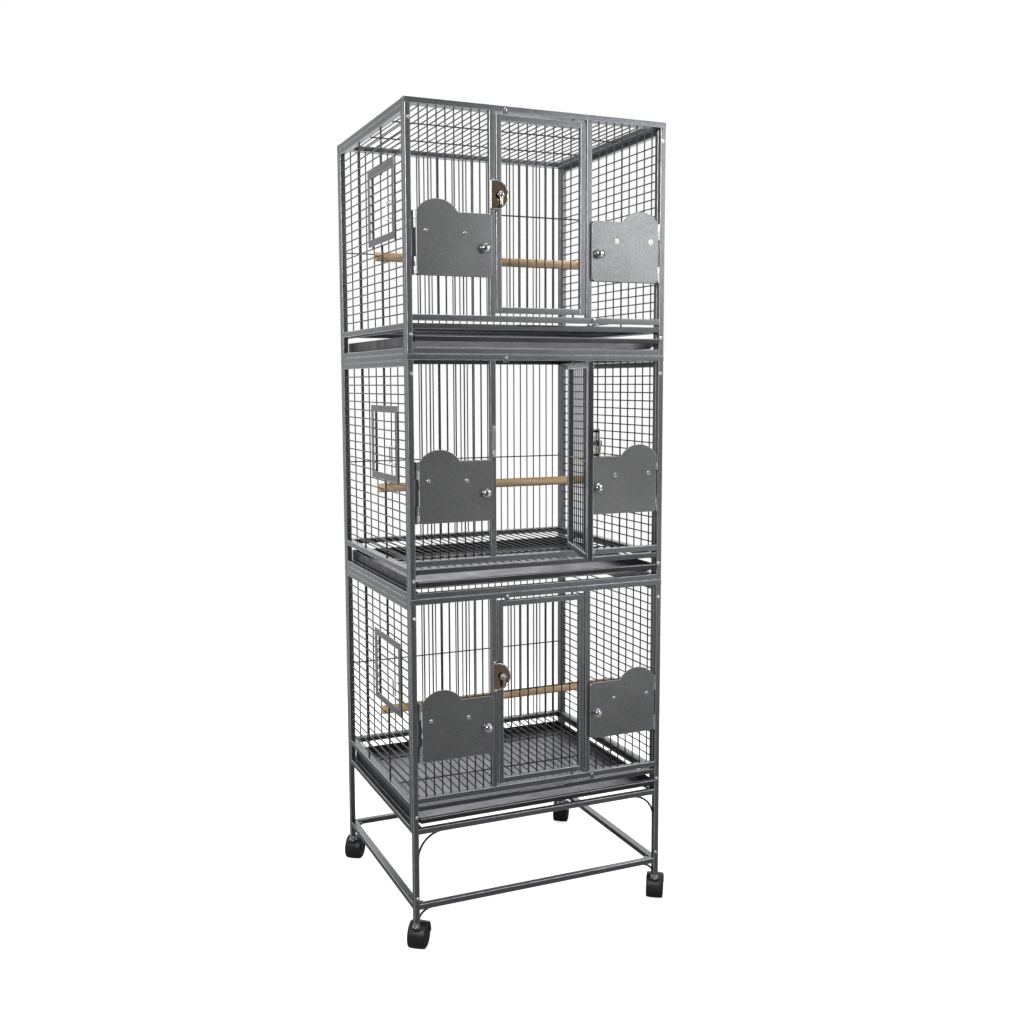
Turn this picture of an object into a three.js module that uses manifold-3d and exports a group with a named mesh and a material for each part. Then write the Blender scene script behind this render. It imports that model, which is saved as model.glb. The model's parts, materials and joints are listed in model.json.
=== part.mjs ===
// Three-tier stacked wire cage on a castored stand. Millimetres, +Z up, front towards -Y,
// origin on the floor under the middle of the whole object's bounding box.
import * as THREE from 'three';
import { mergeVertices } from 'three/addons/utils/BufferGeometryUtils.js';
import Module from 'manifold-3d';

const wasm = await Module();
wasm.setup();

// Driving dimensions
const WIDTH = 610;
const DEPTH = 523;
const TIER = 514; // height of one tier
const TIERS = 3;
const TOP = 1803; // top of the roof above the floor
const TUBE = 12.7; // square tube
const WIRE = 3; // cage wire
const ROD = 4; // stiffening rod
const PITCH = 19; // wire spacing
const GAP = 0.3; // clearance between neighbouring pieces
const BITE = 2; // how far a wire end runs into its rail
const SINK = 1; // how far other joined pieces run into each other
const ROUND = 12; // sides of a small round part
const FINE_ROUND = 8; // sides of a pin
const COARSE_ROUND = 6; // sides of the smallest round parts

// Heights below the top of a tier
const PANEL_RAIL = 433; // top edge of the rail under the front panel
const BACK_RAIL = 450; // top edge of the same rail on the sides and the rear
const LEVEL_WIRE = 256; // level wire across the rear panel
const GRATE_TOP = 451;
const TRAY_TOP = 477;
const TRAY_HEIGHT = 22;
const GRATE_THICK = 11.5;
const LOWEST_RAIL = TIER - TUBE;
const SIDE_RAIL = TUBE + 1; // top edge of the second rail on the sides
const LEDGE = 10; // reach of the ledges that the grate and the tray slide on
const LEDGE_THICK = 2;
const LEDGE_CLEAR = 1; // below what slides on it

// Across the front
const HALF = WIDTH / 2;
const FRONT = -DEPTH / 2;
const BACK = DEPTH / 2;
const MULLION = 108; // inner face of each mullion from the centre line
const INNER = HALF - TUBE; // inner face of a post

// Main door
const DOOR_WIDTH = 211;
const DOOR_TOP = 18.5;
const DOOR_BOTTOM = 427.5;
const DOOR_WIRES = 8;
const DOOR_LEVEL = 223; // level wire across the door
const PIVOT_INSET = 28; // pivot pins, in from the door's right edge
const PIVOT_X = DOOR_WIDTH / 2 - PIVOT_INSET;
const PIN_RADIUS = 2.5;
const OPEN_ANGLE = THREE.MathUtils.degToRad(75); // the middle door stands open

// Latch, its half-round guard plate on the door, and the keeper on the mullion
const LATCH_Z = 184;
const GUARD_RADIUS = 31;
const GUARD_OFFSET = 12; // the round's centre, left of the latch spindle
const GUARD_CUT = 23; // the straight edge, left of the spindle
const GUARD_THICK = 3;
const GUARD_STANDOFF = 6; // from the door's face to the plate
const GUARD_FOOT = { width: 9, height: 5, down: 24 }; // joins the plate to the stile
const GUARD_SEGMENTS = 12;
const LATCH_SPINDLE = 4;
const LATCH_BOSS = 8;
const LEVER = { width: 7, length: 24, rise: 8 };
const TONGUE = { reach: 19, width: 12, thick: 2.5 };
const KEEPER_HEIGHT = 69;
const KEEPER_PLATE = 2;

// Feeder door
const PLATE = 1.5;
const PLATE_OUTER = HALF - 20.5;
const PLATE_INNER = HALF - 187.5;
const PLATE_TOP = 224;
const PLATE_BOTTOM = 354;
const PLATE_CORNER = 9;
const HUMP_RISE = 25;
const HUMP_WIDTH = 91;
const HUMP_FILLET = 9;
const PLATE_FRONT = FRONT - 6; // outer face of the plate
const HINGE_RADIUS = 2.6;
const HINGE_CLEAR = 0.6; // from the barrel to the plate's edge and to the post
const HINGE_X = PLATE_OUTER + HINGE_RADIUS + HINGE_CLEAR;
const HINGE_Y = FRONT - HINGE_RADIUS - HINGE_CLEAR;
const HINGE_LENGTH = 36;
const LEAF_THICK = 2;
const LEAF_ON_POST = 3; // the leaf stops this far in from the post's outer face
const LEAF_ON_PLATE = 6;
const HINGES = [224, 318]; // upper end of each hinge
const HINGE_STRIP = { front: 3, thick: 3 }; // fixed strip behind both hinges, in from the frame's face
const OPENING_TOP = 228; // lower edge of the bar above the feeder opening
const OPENING_BOTTOM = 350;
const PLATE_SCREWS = [{ in: 20, down: 40 }, { in: 106, down: 42 }]; // from the outer edge and flat top
const KNOB_INSET = 17;
const KNOB_DROP = 71; // below the flat top
const KNOB_RADIUS = 10;
const KNOB_LENGTH = 12;
const KNOB_SPINDLE = 2;
const KNOB_HOLE = 2.5;
const CAM_WIDTH = 8;
const CAM_REACH = 21; // from the spindle to the cam's tip
const CAM_THICK = 2;
const SCREW_HEAD = { radius: 5.5, rise: 2.5 };

// Nest-box door in the left side
const NEST_FRONT = FRONT + 70;
const NEST_BACK = FRONT + 260;
const NEST_TOP = 109;
const NEST_BOTTOM = 273;
const NEST_BAR = 15;
const NEST_PLATE = 2;
const PULL_TOP = 196; // rectangular wire pull on the nest door
const PULL_BOTTOM = 232;
const PULL_START = 4; // from the door's front edge
const PULL_REACH = 40;
const PULL_STAND = 6; // in front of the door
const SIDE_PLANE = 4; // wires run this far in from the outer face
const SIDE_RODS = [FRONT + 186, FRONT + 355]; // upright rods, in line with the roof's cross wires
const SIDE_LEVELS = spaced(SIDE_RAIL + TUBE, BACK_RAIL); // level wires, from the top

// Stand
const STRETCHER_TOP = 105;
const LEG_BOTTOM = 63;
const BRACE_RADIUS = 58; // under the lowest rail
const SMALL_BRACE = 35; // reach under the front stretcher
const SMALL_BRACE_DROP = 26;
const BRACE_BAR = 3.5;
const GUSSET = { reach: 14, back: 12, start: 4, inset: 3 }; // corner tie of the stretchers

// Casters
const WHEEL_RADIUS = 27;
const WHEEL_WIDTH = 16;
const WHEEL_SPREAD = 11; // from the hood's centre plane to the middle of a wheel
const TRAIL = 19; // from the swivel axis to the axle
const CASTER_TURN = THREE.MathUtils.degToRad(-125); // all four trail to the back right
const HOOD_CLEAR = 1; // around the wheel
const HOOD_THICK = 2.5;
const HOOD_START = THREE.MathUtils.degToRad(10);
const HOOD_END = THREE.MathUtils.degToRad(190);
const NUT_RADIUS = 8.5;
const NUT_BOTTOM = 52.5;
const HOOD_HALF = 2.5; // half thickness of the hood's centre web
const AXLE_RADIUS = 3;
const WHEEL_SIDES = 16;

const PERCH_RADIUS = 10;
const PERCH_DOWN = SIDE_LEVELS[13]; // notched over this side wire
const PERCH_Y = FRONT + 220;
const PERCH_SIDES = 16;

// Floor grate and tray
const SLIDE_GAP = 1; // clearance of what slides
const WIRE_DROP = 1; // from the top of the grate's edge to its wires
const PULL_LIP = { x: [-57, 52], reach: 6, thick: 2 };
const TRAY_SKIN = 1.2;
const LIP_REACH = 8; // finger lip along the tray's front
const LIP_HEIGHT = 11;
const TRAY_SLOPE = 33; // the front wall leans back this far from its lip down to the floor

// Small tabs bolted to the face of the front rails
const TAB_THICK = 1.5;
const TAB_ABOVE = 5; // above the bolt
const BOLT_HEAD = { radius: 4.5, rise: 3 };
const DOOR_STOP = { x: 220 - HALF, down: 8, width: 12, drop: 9.5 };
const GRATE_CLIP = { x: 431 - HALF, down: 438, width: 9, drop: 11.5 };

// Finishes
const finish = (color, roughness, metalness) => () =>
  new THREE.MeshStandardMaterial({ color, roughness, metalness });
const powderCoat = finish(0x5d6064, 0.45, 0.55);
const sheet = finish(0x6a6c70, 0.4, 0.6);
const chrome = finish(0xd8dadc, 0.15, 1);
const wood = finish(0xd9b382, 0.75, 0);
const blackPlastic = finish(0x17171a, 0.55, 0);
const trayPaint = finish(0x4c4e52, 0.4, 0.6);

// ---- solids ----

function toSolid(geometry) {
  const bare = geometry.clone();
  bare.deleteAttribute('normal');
  bare.deleteAttribute('uv');
  const merged = mergeVertices(bare, 1e-4);
  return new wasm.Manifold(new wasm.Mesh({
    numProp: 3,
    vertProperties: new Float32Array(merged.attributes.position.array),
    triVerts: new Uint32Array(merged.index.array),
  }));
}

function toGeometry(solid) {
  const mesh = solid.getMesh();
  const geometry = new THREE.BufferGeometry();
  geometry.setAttribute('position', new THREE.BufferAttribute(new Float32Array(mesh.vertProperties), 3));
  geometry.setIndex(new THREE.BufferAttribute(new Uint32Array(mesh.triVerts), 1));
  geometry.computeVertexNormals();
  return geometry;
}

function join(pieces, cuts = []) {
  let solid = toSolid(pieces[0]);
  for (const piece of pieces.slice(1)) solid = solid.add(toSolid(piece));
  for (const cut of cuts) solid = solid.subtract(toSolid(cut));
  return toGeometry(solid);
}

// A block between two corners given as [low, high] on each axis.
function block(x, y, z) {
  const box = new THREE.BoxGeometry(x[1] - x[0], y[1] - y[0], z[1] - z[0]);
  return box.translate((x[0] + x[1]) / 2, (y[0] + y[1]) / 2, (z[0] + z[1]) / 2);
}

// A round bar from a to b.
function bar(a, b, radius, sides = ROUND) {
  const from = new THREE.Vector3(...a);
  const to = new THREE.Vector3(...b);
  const along = to.clone().sub(from);
  const upright = new THREE.Vector3(0, 1, 0);
  const turn = new THREE.Quaternion().setFromUnitVectors(upright, along.clone().normalize());
  const middle = from.add(to).multiplyScalar(0.5);
  return new THREE.CylinderGeometry(radius, radius, along.length(), sides)
    .applyQuaternion(turn).translate(middle.x, middle.y, middle.z);
}

const around = (centre, size) => [centre - size / 2, centre + size / 2];
const sorted = (a, b) => [Math.min(a, b), Math.max(a, b)];

// Evenly spaced places between two faces, as near to the wire pitch as fits.
function spaced(low, high) {
  const gaps = Math.round((high - low) / PITCH);
  return Array.from({ length: gaps - 1 }, (_, i) => low + ((high - low) * (i + 1)) / gaps);
}

function piece(group, name, geometry, material) {
  const mesh = new THREE.Mesh(geometry, material());
  mesh.name = name;
  group.add(mesh);
  return mesh;
}

// ---- panels: z is measured down from the tier's top ----

// The lower half of each feeder hinge: a knuckle and its leaf on the post.
function feederKnuckles(side) {
  return HINGES.flatMap((top) => {
    const z = [-top - HINGE_LENGTH, -top - HINGE_LENGTH / 2 - GAP];
    const x = side * HINGE_X;
    const barrel = bar([x, HINGE_Y, z[0]], [x, HINGE_Y, z[1]], HINGE_RADIUS, COARSE_ROUND);
    const leafX = sorted(side * HINGE_X, side * (HALF - LEAF_ON_POST));
    const leaf = block(leafX, [FRONT - LEAF_THICK, FRONT + SINK], z);
    return [barrel, leaf];
  });
}

// A thin bar that curves from a leg up to the rail above it; corner is where the two meet.
function quarterArc(corner, reach, drop, side) {
  const steps = 5;
  const point = (i) => {
    const angle = (Math.PI / 2) * (i / steps);
    const along = reach * (1 - Math.cos(angle));
    return [corner[0] - side * along, corner[1], corner[2] - drop * (1 - Math.sin(angle))];
  };
  const overrun = 0.15; // each straight runs a little into the next
  return Array.from({ length: steps }, (_, i) => {
    const a = point(i);
    const b = point(i + 1);
    const dx = (b[0] - a[0]) * overrun;
    const dz = (b[2] - a[2]) * overrun;
    const from = [a[0] - dx, a[1], a[2] - dz];
    const to = [b[0] + dx, b[1], b[2] + dz];
    return bar(from, to, BRACE_BAR / 2, COARSE_ROUND);
  });
}

function frontFrame(postBottom, braced) {
  const y = [FRONT, FRONT + TUBE];
  const wireY = around(FRONT + TUBE / 2, WIRE);
  const full = [-HALF, HALF];
  const stripY = [FRONT + HINGE_STRIP.front, FRONT + HINGE_STRIP.front + HINGE_STRIP.thick];
  const parts = [
    block(full, y, [-TUBE, 0]),
    block(full, y, [-PANEL_RAIL - TUBE, -PANEL_RAIL]),
    block(full, y, [-TIER + GAP, -LOWEST_RAIL]),
    block([-HALF, -INNER], y, [postBottom, 0]),
    block([INNER, HALF], y, [postBottom, 0]),
  ];
  for (const side of [-1, 1]) {
    const edges = (a, b) => sorted(side * a, side * b);
    parts.push(block(edges(MULLION, MULLION + TUBE), y, [-PANEL_RAIL - BITE, -TUBE + BITE]));
    const ends = edges(MULLION + TUBE - BITE, INNER + BITE);
    parts.push(block(ends, around(FRONT + TUBE / 2, TUBE / 2), [-OPENING_TOP, -OPENING_TOP + ROD]));
    parts.push(block(ends, around(FRONT + TUBE / 2, TUBE / 2), [-OPENING_BOTTOM - ROD, -OPENING_BOTTOM]));
    for (const x of spaced(MULLION + TUBE, INNER)) {
      parts.push(block(around(side * x, WIRE), wireY, [-OPENING_TOP + ROD - BITE, -TUBE + BITE]));
      parts.push(block(around(side * x, WIRE), wireY, [-PANEL_RAIL - BITE, -OPENING_BOTTOM - ROD + BITE]));
    }
    parts.push(block(edges(HINGE_X - HINGE_RADIUS, INNER + BITE), stripY, [-PLATE_BOTTOM, -PLATE_TOP]));
    parts.push(...feederKnuckles(side));
  }
  if (braced) {
    for (const side of [-1, 1]) {
      const corner = [side * (INNER + SINK), FRONT + TUBE / 2, -TIER + GAP + SINK];
      parts.push(...quarterArc(corner, BRACE_RADIUS, BRACE_RADIUS, side));
    }
  }
  const keeperX = [-MULLION - TUBE + 1, -MULLION - 1];
  parts.push(block(keeperX, [FRONT - KEEPER_PLATE, FRONT + SINK], around(-LATCH_Z, KEEPER_HEIGHT)));
  const pin = (from, to) => {
    const y = FRONT + TUBE / 2;
    return bar([PIVOT_X, y, from], [PIVOT_X, y, to], PIN_RADIUS, FINE_ROUND);
  };
  parts.push(pin(-TUBE + SINK, -DOOR_TOP + GAP));
  parts.push(pin(-PANEL_RAIL - SINK, -DOOR_BOTTOM - GAP));
  return join(parts);
}

function rearPanel(postBottom) {
  const y = [BACK - TUBE, BACK];
  const parts = [
    block([-HALF, HALF], y, [-TUBE, 0]),
    block([-HALF, HALF], y, [-BACK_RAIL - TUBE, -BACK_RAIL]),
    block([-HALF, HALF], y, [-TIER + GAP, -LOWEST_RAIL]),
    block([-HALF, -INNER], y, [postBottom, 0]),
    block([INNER, HALF], y, [postBottom, 0]),
  ];
  for (const x of spaced(-INNER, INNER)) {
    parts.push(block(around(x, WIRE), around(BACK - TUBE / 2, WIRE), [-BACK_RAIL - BITE, -TUBE + BITE]));
  }
  // One level wire stiffens the uprights, just behind them.
  const levelY = BACK - TUBE / 2 + WIRE + GAP;
  parts.push(block([-INNER - BITE, INNER + BITE], around(levelY, WIRE), around(-LEVEL_WIRE, WIRE)));
  return join(parts);
}

function sidePanel(side) {
  const low = FRONT + TUBE + GAP;
  const high = BACK - TUBE - GAP;
  const across = (a, b) => sorted(side * (HALF - a), side * (HALF - b));
  const x = across(0, TUBE);
  const parts = [
    block(x, [low, high], [-TUBE, 0]),
    block(x, [low, high], [-SIDE_RAIL - TUBE, -SIDE_RAIL]),
    block(x, [low, high], [-BACK_RAIL - TUBE, -BACK_RAIL]),
    block(x, [low, high], [-TIER + GAP, -LOWEST_RAIL]),
    block(x, [low, low + TUBE], [-TIER + GAP, 0]),
    block(x, [high - TUBE, high], [-TIER + GAP, 0]),
  ];
  // Ledges that the grate and the tray slide on, from post to post.
  for (const down of [GRATE_TOP + GRATE_THICK, TRAY_TOP + TRAY_HEIGHT]) {
    const z = [-down - LEDGE_CLEAR - LEDGE_THICK, -down - LEDGE_CLEAR];
    parts.push(block(across(TUBE - SINK, TUBE - SINK + LEDGE), [low, high], z));
  }
  const wireX = around(side * (HALF - SIDE_PLANE), WIRE);
  const inside = [low + TUBE - BITE, high - TUBE + BITE];
  const rodX = around(side * (HALF - SIDE_PLANE - (WIRE + ROD) / 2 - GAP), ROD);
  const rod = (y, z) => block(rodX, around(y, ROD), z);
  const rodEnds = [-BACK_RAIL - BITE, -SIDE_RAIL - TUBE + BITE];
  const hasDoor = side < 0;
  const stopped = (down) => hasDoor && down > NEST_TOP + NEST_BAR && down < NEST_BOTTOM - NEST_BAR;
  for (const down of SIDE_LEVELS) {
    const z = around(-down, WIRE);
    if (stopped(down)) {
      parts.push(block(wireX, [inside[0], NEST_FRONT + NEST_BAR], z));
      parts.push(block(wireX, [NEST_BACK - NEST_BAR, inside[1]], z));
    } else {
      parts.push(block(wireX, inside, z));
    }
  }
  if (hasDoor) {
    // The opening behind the nest-box door is edged by two short uprights and two wires,
    // and the first rod stops at those wires.
    const above = -SIDE_LEVELS[SIDE_LEVELS.findIndex(stopped) - 1];
    const below = -SIDE_LEVELS[SIDE_LEVELS.findLastIndex(stopped) + 1];
    for (const y of [NEST_FRONT + NEST_BAR - SINK, NEST_BACK - NEST_BAR + SINK]) {
      parts.push(block(wireX, around(y, WIRE), [below, above]));
    }
    parts.push(rod(SIDE_RODS[0], [above - WIRE / 2, rodEnds[1]]));
    parts.push(rod(SIDE_RODS[0], [rodEnds[0], below + WIRE / 2]));
    // a weld joins each stopped rod to its wire
    const weldX = [wireX[0] + SINK, rodX[0] + SINK];
    for (const z of [above, below]) {
      parts.push(block(weldX, around(SIDE_RODS[0], WIRE - SINK), around(z, WIRE - SINK)));
    }
  } else {
    parts.push(rod(SIDE_RODS[0], rodEnds));
  }
  parts.push(rod(SIDE_RODS[1], rodEnds));
  return join(parts);
}

function roofPanel() {
  const x = [-INNER + GAP, INNER - GAP];
  const y = [FRONT + TUBE + GAP, BACK - TUBE - GAP];
  const parts = [
    block(x, [y[0], y[0] + TUBE], [-TUBE, 0]),
    block(x, [y[1] - TUBE, y[1]], [-TUBE, 0]),
    block([x[0], x[0] + TUBE], y, [-TUBE, 0]),
    block([x[1] - TUBE, x[1]], y, [-TUBE, 0]),
  ];
  for (const at of spaced(x[0] + TUBE, x[1] - TUBE)) {
    parts.push(block(around(at, WIRE), [y[0] + TUBE - BITE, y[1] - TUBE + BITE], around(-TUBE / 2, WIRE)));
  }
  for (const at of SIDE_RODS) {
    const z = around(-TUBE / 2 - WIRE - GAP, WIRE);
    parts.push(block([x[0] + TUBE - BITE, x[1] - TUBE + BITE], around(at, WIRE), z));
  }
  return join(parts);
}

// ---- doors, latches and knobs ----

// Built about its pivot line, with the hinge axis on x = 0, y = 0.
function mainDoor() {
  const right = PIVOT_INSET;
  const left = PIVOT_INSET - DOOR_WIDTH;
  const y = around(0, TUBE);
  const z = [-DOOR_BOTTOM, -DOOR_TOP];
  const parts = [
    block([left, right], y, [z[1] - TUBE, z[1]]),
    block([left, right], y, [z[0], z[0] + TUBE]),
    block([left, left + TUBE], y, z),
    block([right - TUBE, right], y, z),
  ];
  for (let i = 1; i <= DOOR_WIRES; i += 1) {
    const x = left + TUBE + ((DOOR_WIDTH - 2 * TUBE) * i) / (DOOR_WIRES + 1);
    parts.push(block(around(x, WIRE), around(0, WIRE), [z[0] + TUBE - BITE, z[1] - TUBE + BITE]));
  }
  const across = [left + TUBE - BITE, right - TUBE + BITE];
  parts.push(block(across, around(WIRE + GAP, WIRE), around(-DOOR_LEVEL, WIRE)));
  const spindleX = left + TUBE / 2;
  for (const part of latchGuard()) parts.push(part.translate(spindleX, 0, -LATCH_Z));
  const back = -TUBE / 2 - GUARD_STANDOFF - 2 * GUARD_THICK;
  const hole = bar([spindleX, back, -LATCH_Z], [spindleX, -TUBE / 2 - SINK, -LATCH_Z], LATCH_SPINDLE + GAP);
  return join(parts, [hole]);
}

// Half-round plate that stands in front of the stile and the mullion, about the latch spindle.
function latchGuard() {
  const chord = Math.acos((GUARD_CUT - GUARD_OFFSET) / GUARD_RADIUS);
  const outline = new THREE.Shape();
  outline.absarc(-GUARD_OFFSET, 0, GUARD_RADIUS, chord - Math.PI, Math.PI - chord);
  const extrusion = { depth: GUARD_THICK, bevelEnabled: false, curveSegments: GUARD_SEGMENTS };
  const plate = new THREE.ExtrudeGeometry(outline, extrusion).rotateX(Math.PI / 2);
  const back = -TUBE / 2 - GUARD_STANDOFF;
  const feet = [-1, 1].map((end) => {
    const z = around(end * GUARD_FOOT.down, GUARD_FOOT.height);
    return block(around(0, GUARD_FOOT.width), [back - SINK, -TUBE / 2 + SINK], z);
  });
  return [plate.translate(0, back, 0), ...feet];
}

// Boss, lever, spindle and the tongue that catches on the keeper; turns about y.
function latch() {
  const face = -TUBE / 2 - GAP;
  const back = -TUBE / 2 - GUARD_STANDOFF + GAP;
  const front = -TUBE / 2 - GUARD_STANDOFF - GUARD_THICK - GAP;
  const spindle = bar([0, face, 0], [0, front - SINK, 0], LATCH_SPINDLE, FINE_ROUND);
  const boss = bar([0, front, 0], [0, front - LEVER.rise, 0], LATCH_BOSS, ROUND);
  const lever = block(around(0, LEVER.width), [front - LEVER.rise, front], [-LEVER.length, 0]);
  const tongue = block([-TONGUE.reach, 0], [back, back + TONGUE.thick], around(0, TONGUE.width));
  return join([spindle, boss, lever, tongue]);
}

function plateOutline() {
  // Drawn for the right-hand door: x runs from the inner edge to the outer edge.
  const shape = new THREE.Shape();
  const top = -PLATE_TOP;
  const bottom = -PLATE_BOTTOM;
  const humpStart = PLATE_OUTER - HUMP_WIDTH;
  const half = HUMP_WIDTH / 2;
  const arcRadius = (half * half + HUMP_RISE * HUMP_RISE) / (2 * HUMP_RISE);
  const arcCentre = top + HUMP_RISE - arcRadius;
  const humpX = PLATE_OUTER - half;
  const reach = Math.asin(half / arcRadius);
  shape.moveTo(PLATE_INNER + PLATE_CORNER, bottom);
  shape.lineTo(PLATE_OUTER - PLATE_CORNER, bottom);
  shape.absarc(PLATE_OUTER - PLATE_CORNER, bottom + PLATE_CORNER, PLATE_CORNER, -Math.PI / 2, 0);
  shape.lineTo(PLATE_OUTER, top);
  shape.absarc(humpX, arcCentre, arcRadius, Math.PI / 2 - reach, Math.PI / 2 + reach);
  shape.quadraticCurveTo(humpStart - HUMP_FILLET / 3, top, humpStart - HUMP_FILLET, top);
  shape.lineTo(PLATE_INNER + PLATE_CORNER, top);
  shape.absarc(PLATE_INNER + PLATE_CORNER, top - PLATE_CORNER, PLATE_CORNER, Math.PI / 2, Math.PI);
  shape.lineTo(PLATE_INNER, bottom + PLATE_CORNER);
  shape.absarc(PLATE_INNER + PLATE_CORNER, bottom + PLATE_CORNER, PLATE_CORNER, Math.PI, 1.5 * Math.PI);
  return shape;
}

const mirror = (geometry, side) => {
  if (side > 0) return geometry;
  const flipped = geometry.clone().scale(-1, 1, 1);
  const index = flipped.index;
  for (let i = 0; index && i < index.count; i += 3) {
    const first = index.getX(i);
    index.setX(i, index.getX(i + 1));
    index.setX(i + 1, first);
  }
  return flipped;
};

function feederDoor(side) {
  const extrusion = { depth: PLATE, bevelEnabled: false, curveSegments: 4 };
  const sheetMetal = new THREE.ExtrudeGeometry(plateOutline(), extrusion);
  // The outline's second axis is height: stand it up with its outer face at PLATE_FRONT.
  sheetMetal.rotateX(Math.PI / 2).translate(0, PLATE_FRONT + PLATE, 0);
  const parts = [sheetMetal];
  for (const top of HINGES) {
    const z = [-top - HINGE_LENGTH / 2 + GAP, -top];
    const leafY = [PLATE_FRONT + PLATE / 2, PLATE_FRONT + PLATE + SINK];
    parts.push(bar([HINGE_X, HINGE_Y, z[0]], [HINGE_X, HINGE_Y, z[1]], HINGE_RADIUS, COARSE_ROUND));
    parts.push(block([PLATE_OUTER - LEAF_ON_PLATE, HINGE_X], leafY, z));
  }
  for (const screw of PLATE_SCREWS) {
    const x = PLATE_OUTER - screw.in;
    const z = -PLATE_TOP - screw.down;
    const head = [x, PLATE_FRONT - SCREW_HEAD.rise, z];
    parts.push(bar(head, [x, PLATE_FRONT + PLATE / 2, z], SCREW_HEAD.radius, COARSE_ROUND));
  }
  const holeX = PLATE_INNER + KNOB_INSET;
  const holeZ = -PLATE_TOP - KNOB_DROP;
  const through = [PLATE_FRONT - PLATE, PLATE_FRONT + 2 * PLATE];
  const hole = bar([holeX, through[0], holeZ], [holeX, through[1], holeZ], KNOB_HOLE, ROUND);
  return mirror(join(parts, [hole]), side);
}

// Thumb knob and spindle. The cam stands upright here, clear of the mullion; a quarter turn
// takes its tip behind the mullion and holds the door shut.
function feederKnob(side) {
  const x = side * (PLATE_INNER + KNOB_INSET);
  const z = -PLATE_TOP - KNOB_DROP;
  const front = PLATE_FRONT - GAP;
  const camY = FRONT + TUBE + LEDGE_CLEAR;
  return join([
    bar([x, front - KNOB_LENGTH, z], [x, front, z], KNOB_RADIUS, ROUND),
    bar([x, front - SINK, z], [x, camY + CAM_THICK / 2, z], KNOB_SPINDLE, FINE_ROUND),
    block(around(x, CAM_WIDTH), [camY, camY + CAM_THICK], [z - CAM_WIDTH / 2, z + CAM_REACH]),
  ]);
}

function nestDoor() {
  const x = [-HALF - NEST_PLATE - GAP, -HALF - GAP];
  const y = [NEST_FRONT, NEST_BACK];
  const z = [-NEST_BOTTOM, -NEST_TOP];
  const parts = [
    block(x, y, [z[1] - NEST_BAR, z[1]]),
    block(x, y, [z[0], z[0] + NEST_BAR]),
    block(x, [y[0], y[0] + NEST_BAR], z),
    block(x, [y[1] - NEST_BAR, y[1]], z),
  ];
  const inside = [z[0] + NEST_BAR, z[1] - NEST_BAR];
  const wireX = [x[1] - WIRE, x[1]];
  for (const level of spaced(inside[0], inside[1])) {
    parts.push(block(wireX, [y[0] + NEST_BAR - BITE, y[1] - NEST_BAR + BITE], around(level, WIRE)));
  }
  // Rectangular wire pull on the front stile, reaching back over the wires.
  const pullY = [y[0] + PULL_START, y[0] + PULL_REACH];
  const pullX = x[0] - PULL_STAND;
  for (const down of [PULL_TOP, PULL_BOTTOM]) {
    parts.push(block([pullX, x[0] + SINK], pullY, around(-down, WIRE)));
  }
  parts.push(block([pullX, pullX + WIRE], [pullY[1] - WIRE, pullY[1]], [-PULL_BOTTOM, -PULL_TOP]));
  return join(parts);
}

// ---- floor, perch and small tabs ----

function grate() {
  const x = [-INNER + SLIDE_GAP, INNER - SLIDE_GAP];
  const y = [FRONT + SLIDE_GAP, BACK - TUBE - 2 * SLIDE_GAP];
  const z = [-GRATE_TOP - GRATE_THICK, -GRATE_TOP];
  const parts = [
    block(x, [y[0], y[0] + TUBE], z),
    block(x, [y[1] - ROD, y[1]], z),
    block([x[0], x[0] + ROD], y, z),
    block([x[1] - ROD, x[1]], y, z),
  ];
  for (const at of spaced(x[0] + ROD, x[1] - ROD)) {
    const level = [z[1] - WIRE_DROP - WIRE, z[1] - WIRE_DROP];
    parts.push(block(around(at, WIRE), [y[0] + TUBE - BITE, y[1] - ROD + BITE], level));
  }
  for (const share of [1 / 3, 2 / 3]) {
    const under = z[1] - WIRE_DROP - WIRE - GAP;
    const at = y[0] + share * (y[1] - y[0]);
    parts.push(block([x[0] + ROD - BITE, x[1] - ROD + BITE], around(at, WIRE), [under - WIRE, under]));
  }
  // pull lip in the middle of the front bar
  parts.push(block(PULL_LIP.x, [y[0] - PULL_LIP.reach, y[0] + SINK], [z[1] - PULL_LIP.thick, z[1]]));
  return join(parts);
}

// Sheet tray whose front wall leans back, with a finger lip along its front edge.
function tray() {
  const x = [-INNER + 3 * SLIDE_GAP, INNER - 3 * SLIDE_GAP];
  const y = [FRONT + 3 * SLIDE_GAP, BACK - TUBE - 4 * SLIDE_GAP];
  const z = [-TRAY_TOP - TRAY_HEIGHT, -TRAY_TOP];
  const lipY = y[0] - LIP_REACH;
  const lipZ = z[1] - LIP_HEIGHT;
  const wedge = (inset) => {
    const profile = new THREE.Shape();
    profile.moveTo(y[0] + inset, z[1] + inset);
    profile.lineTo(y[0] + inset, lipZ + inset / 2);
    profile.lineTo(y[0] + TRAY_SLOPE + inset / 2, z[0] + inset);
    profile.lineTo(y[1] - inset, z[0] + inset);
    profile.lineTo(y[1] - inset, z[1] + inset);
    const extrusion = { depth: x[1] - x[0] - 2 * inset, bevelEnabled: false };
    const solid = new THREE.ExtrudeGeometry(profile, extrusion);
    // The profile's axes are y and z: turn them upright, with the depth along x.
    return solid.rotateX(Math.PI / 2).rotateZ(Math.PI / 2).translate(x[0] + inset, 0, 0);
  };
  return join([
    wedge(0),
    block(x, [lipY, y[0] + TRAY_SKIN], [lipZ, lipZ + TRAY_SKIN]),
    block(x, [lipY, lipY + TRAY_SKIN], [lipZ, z[1]]),
  ], [wedge(TRAY_SKIN)]);
}

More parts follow.
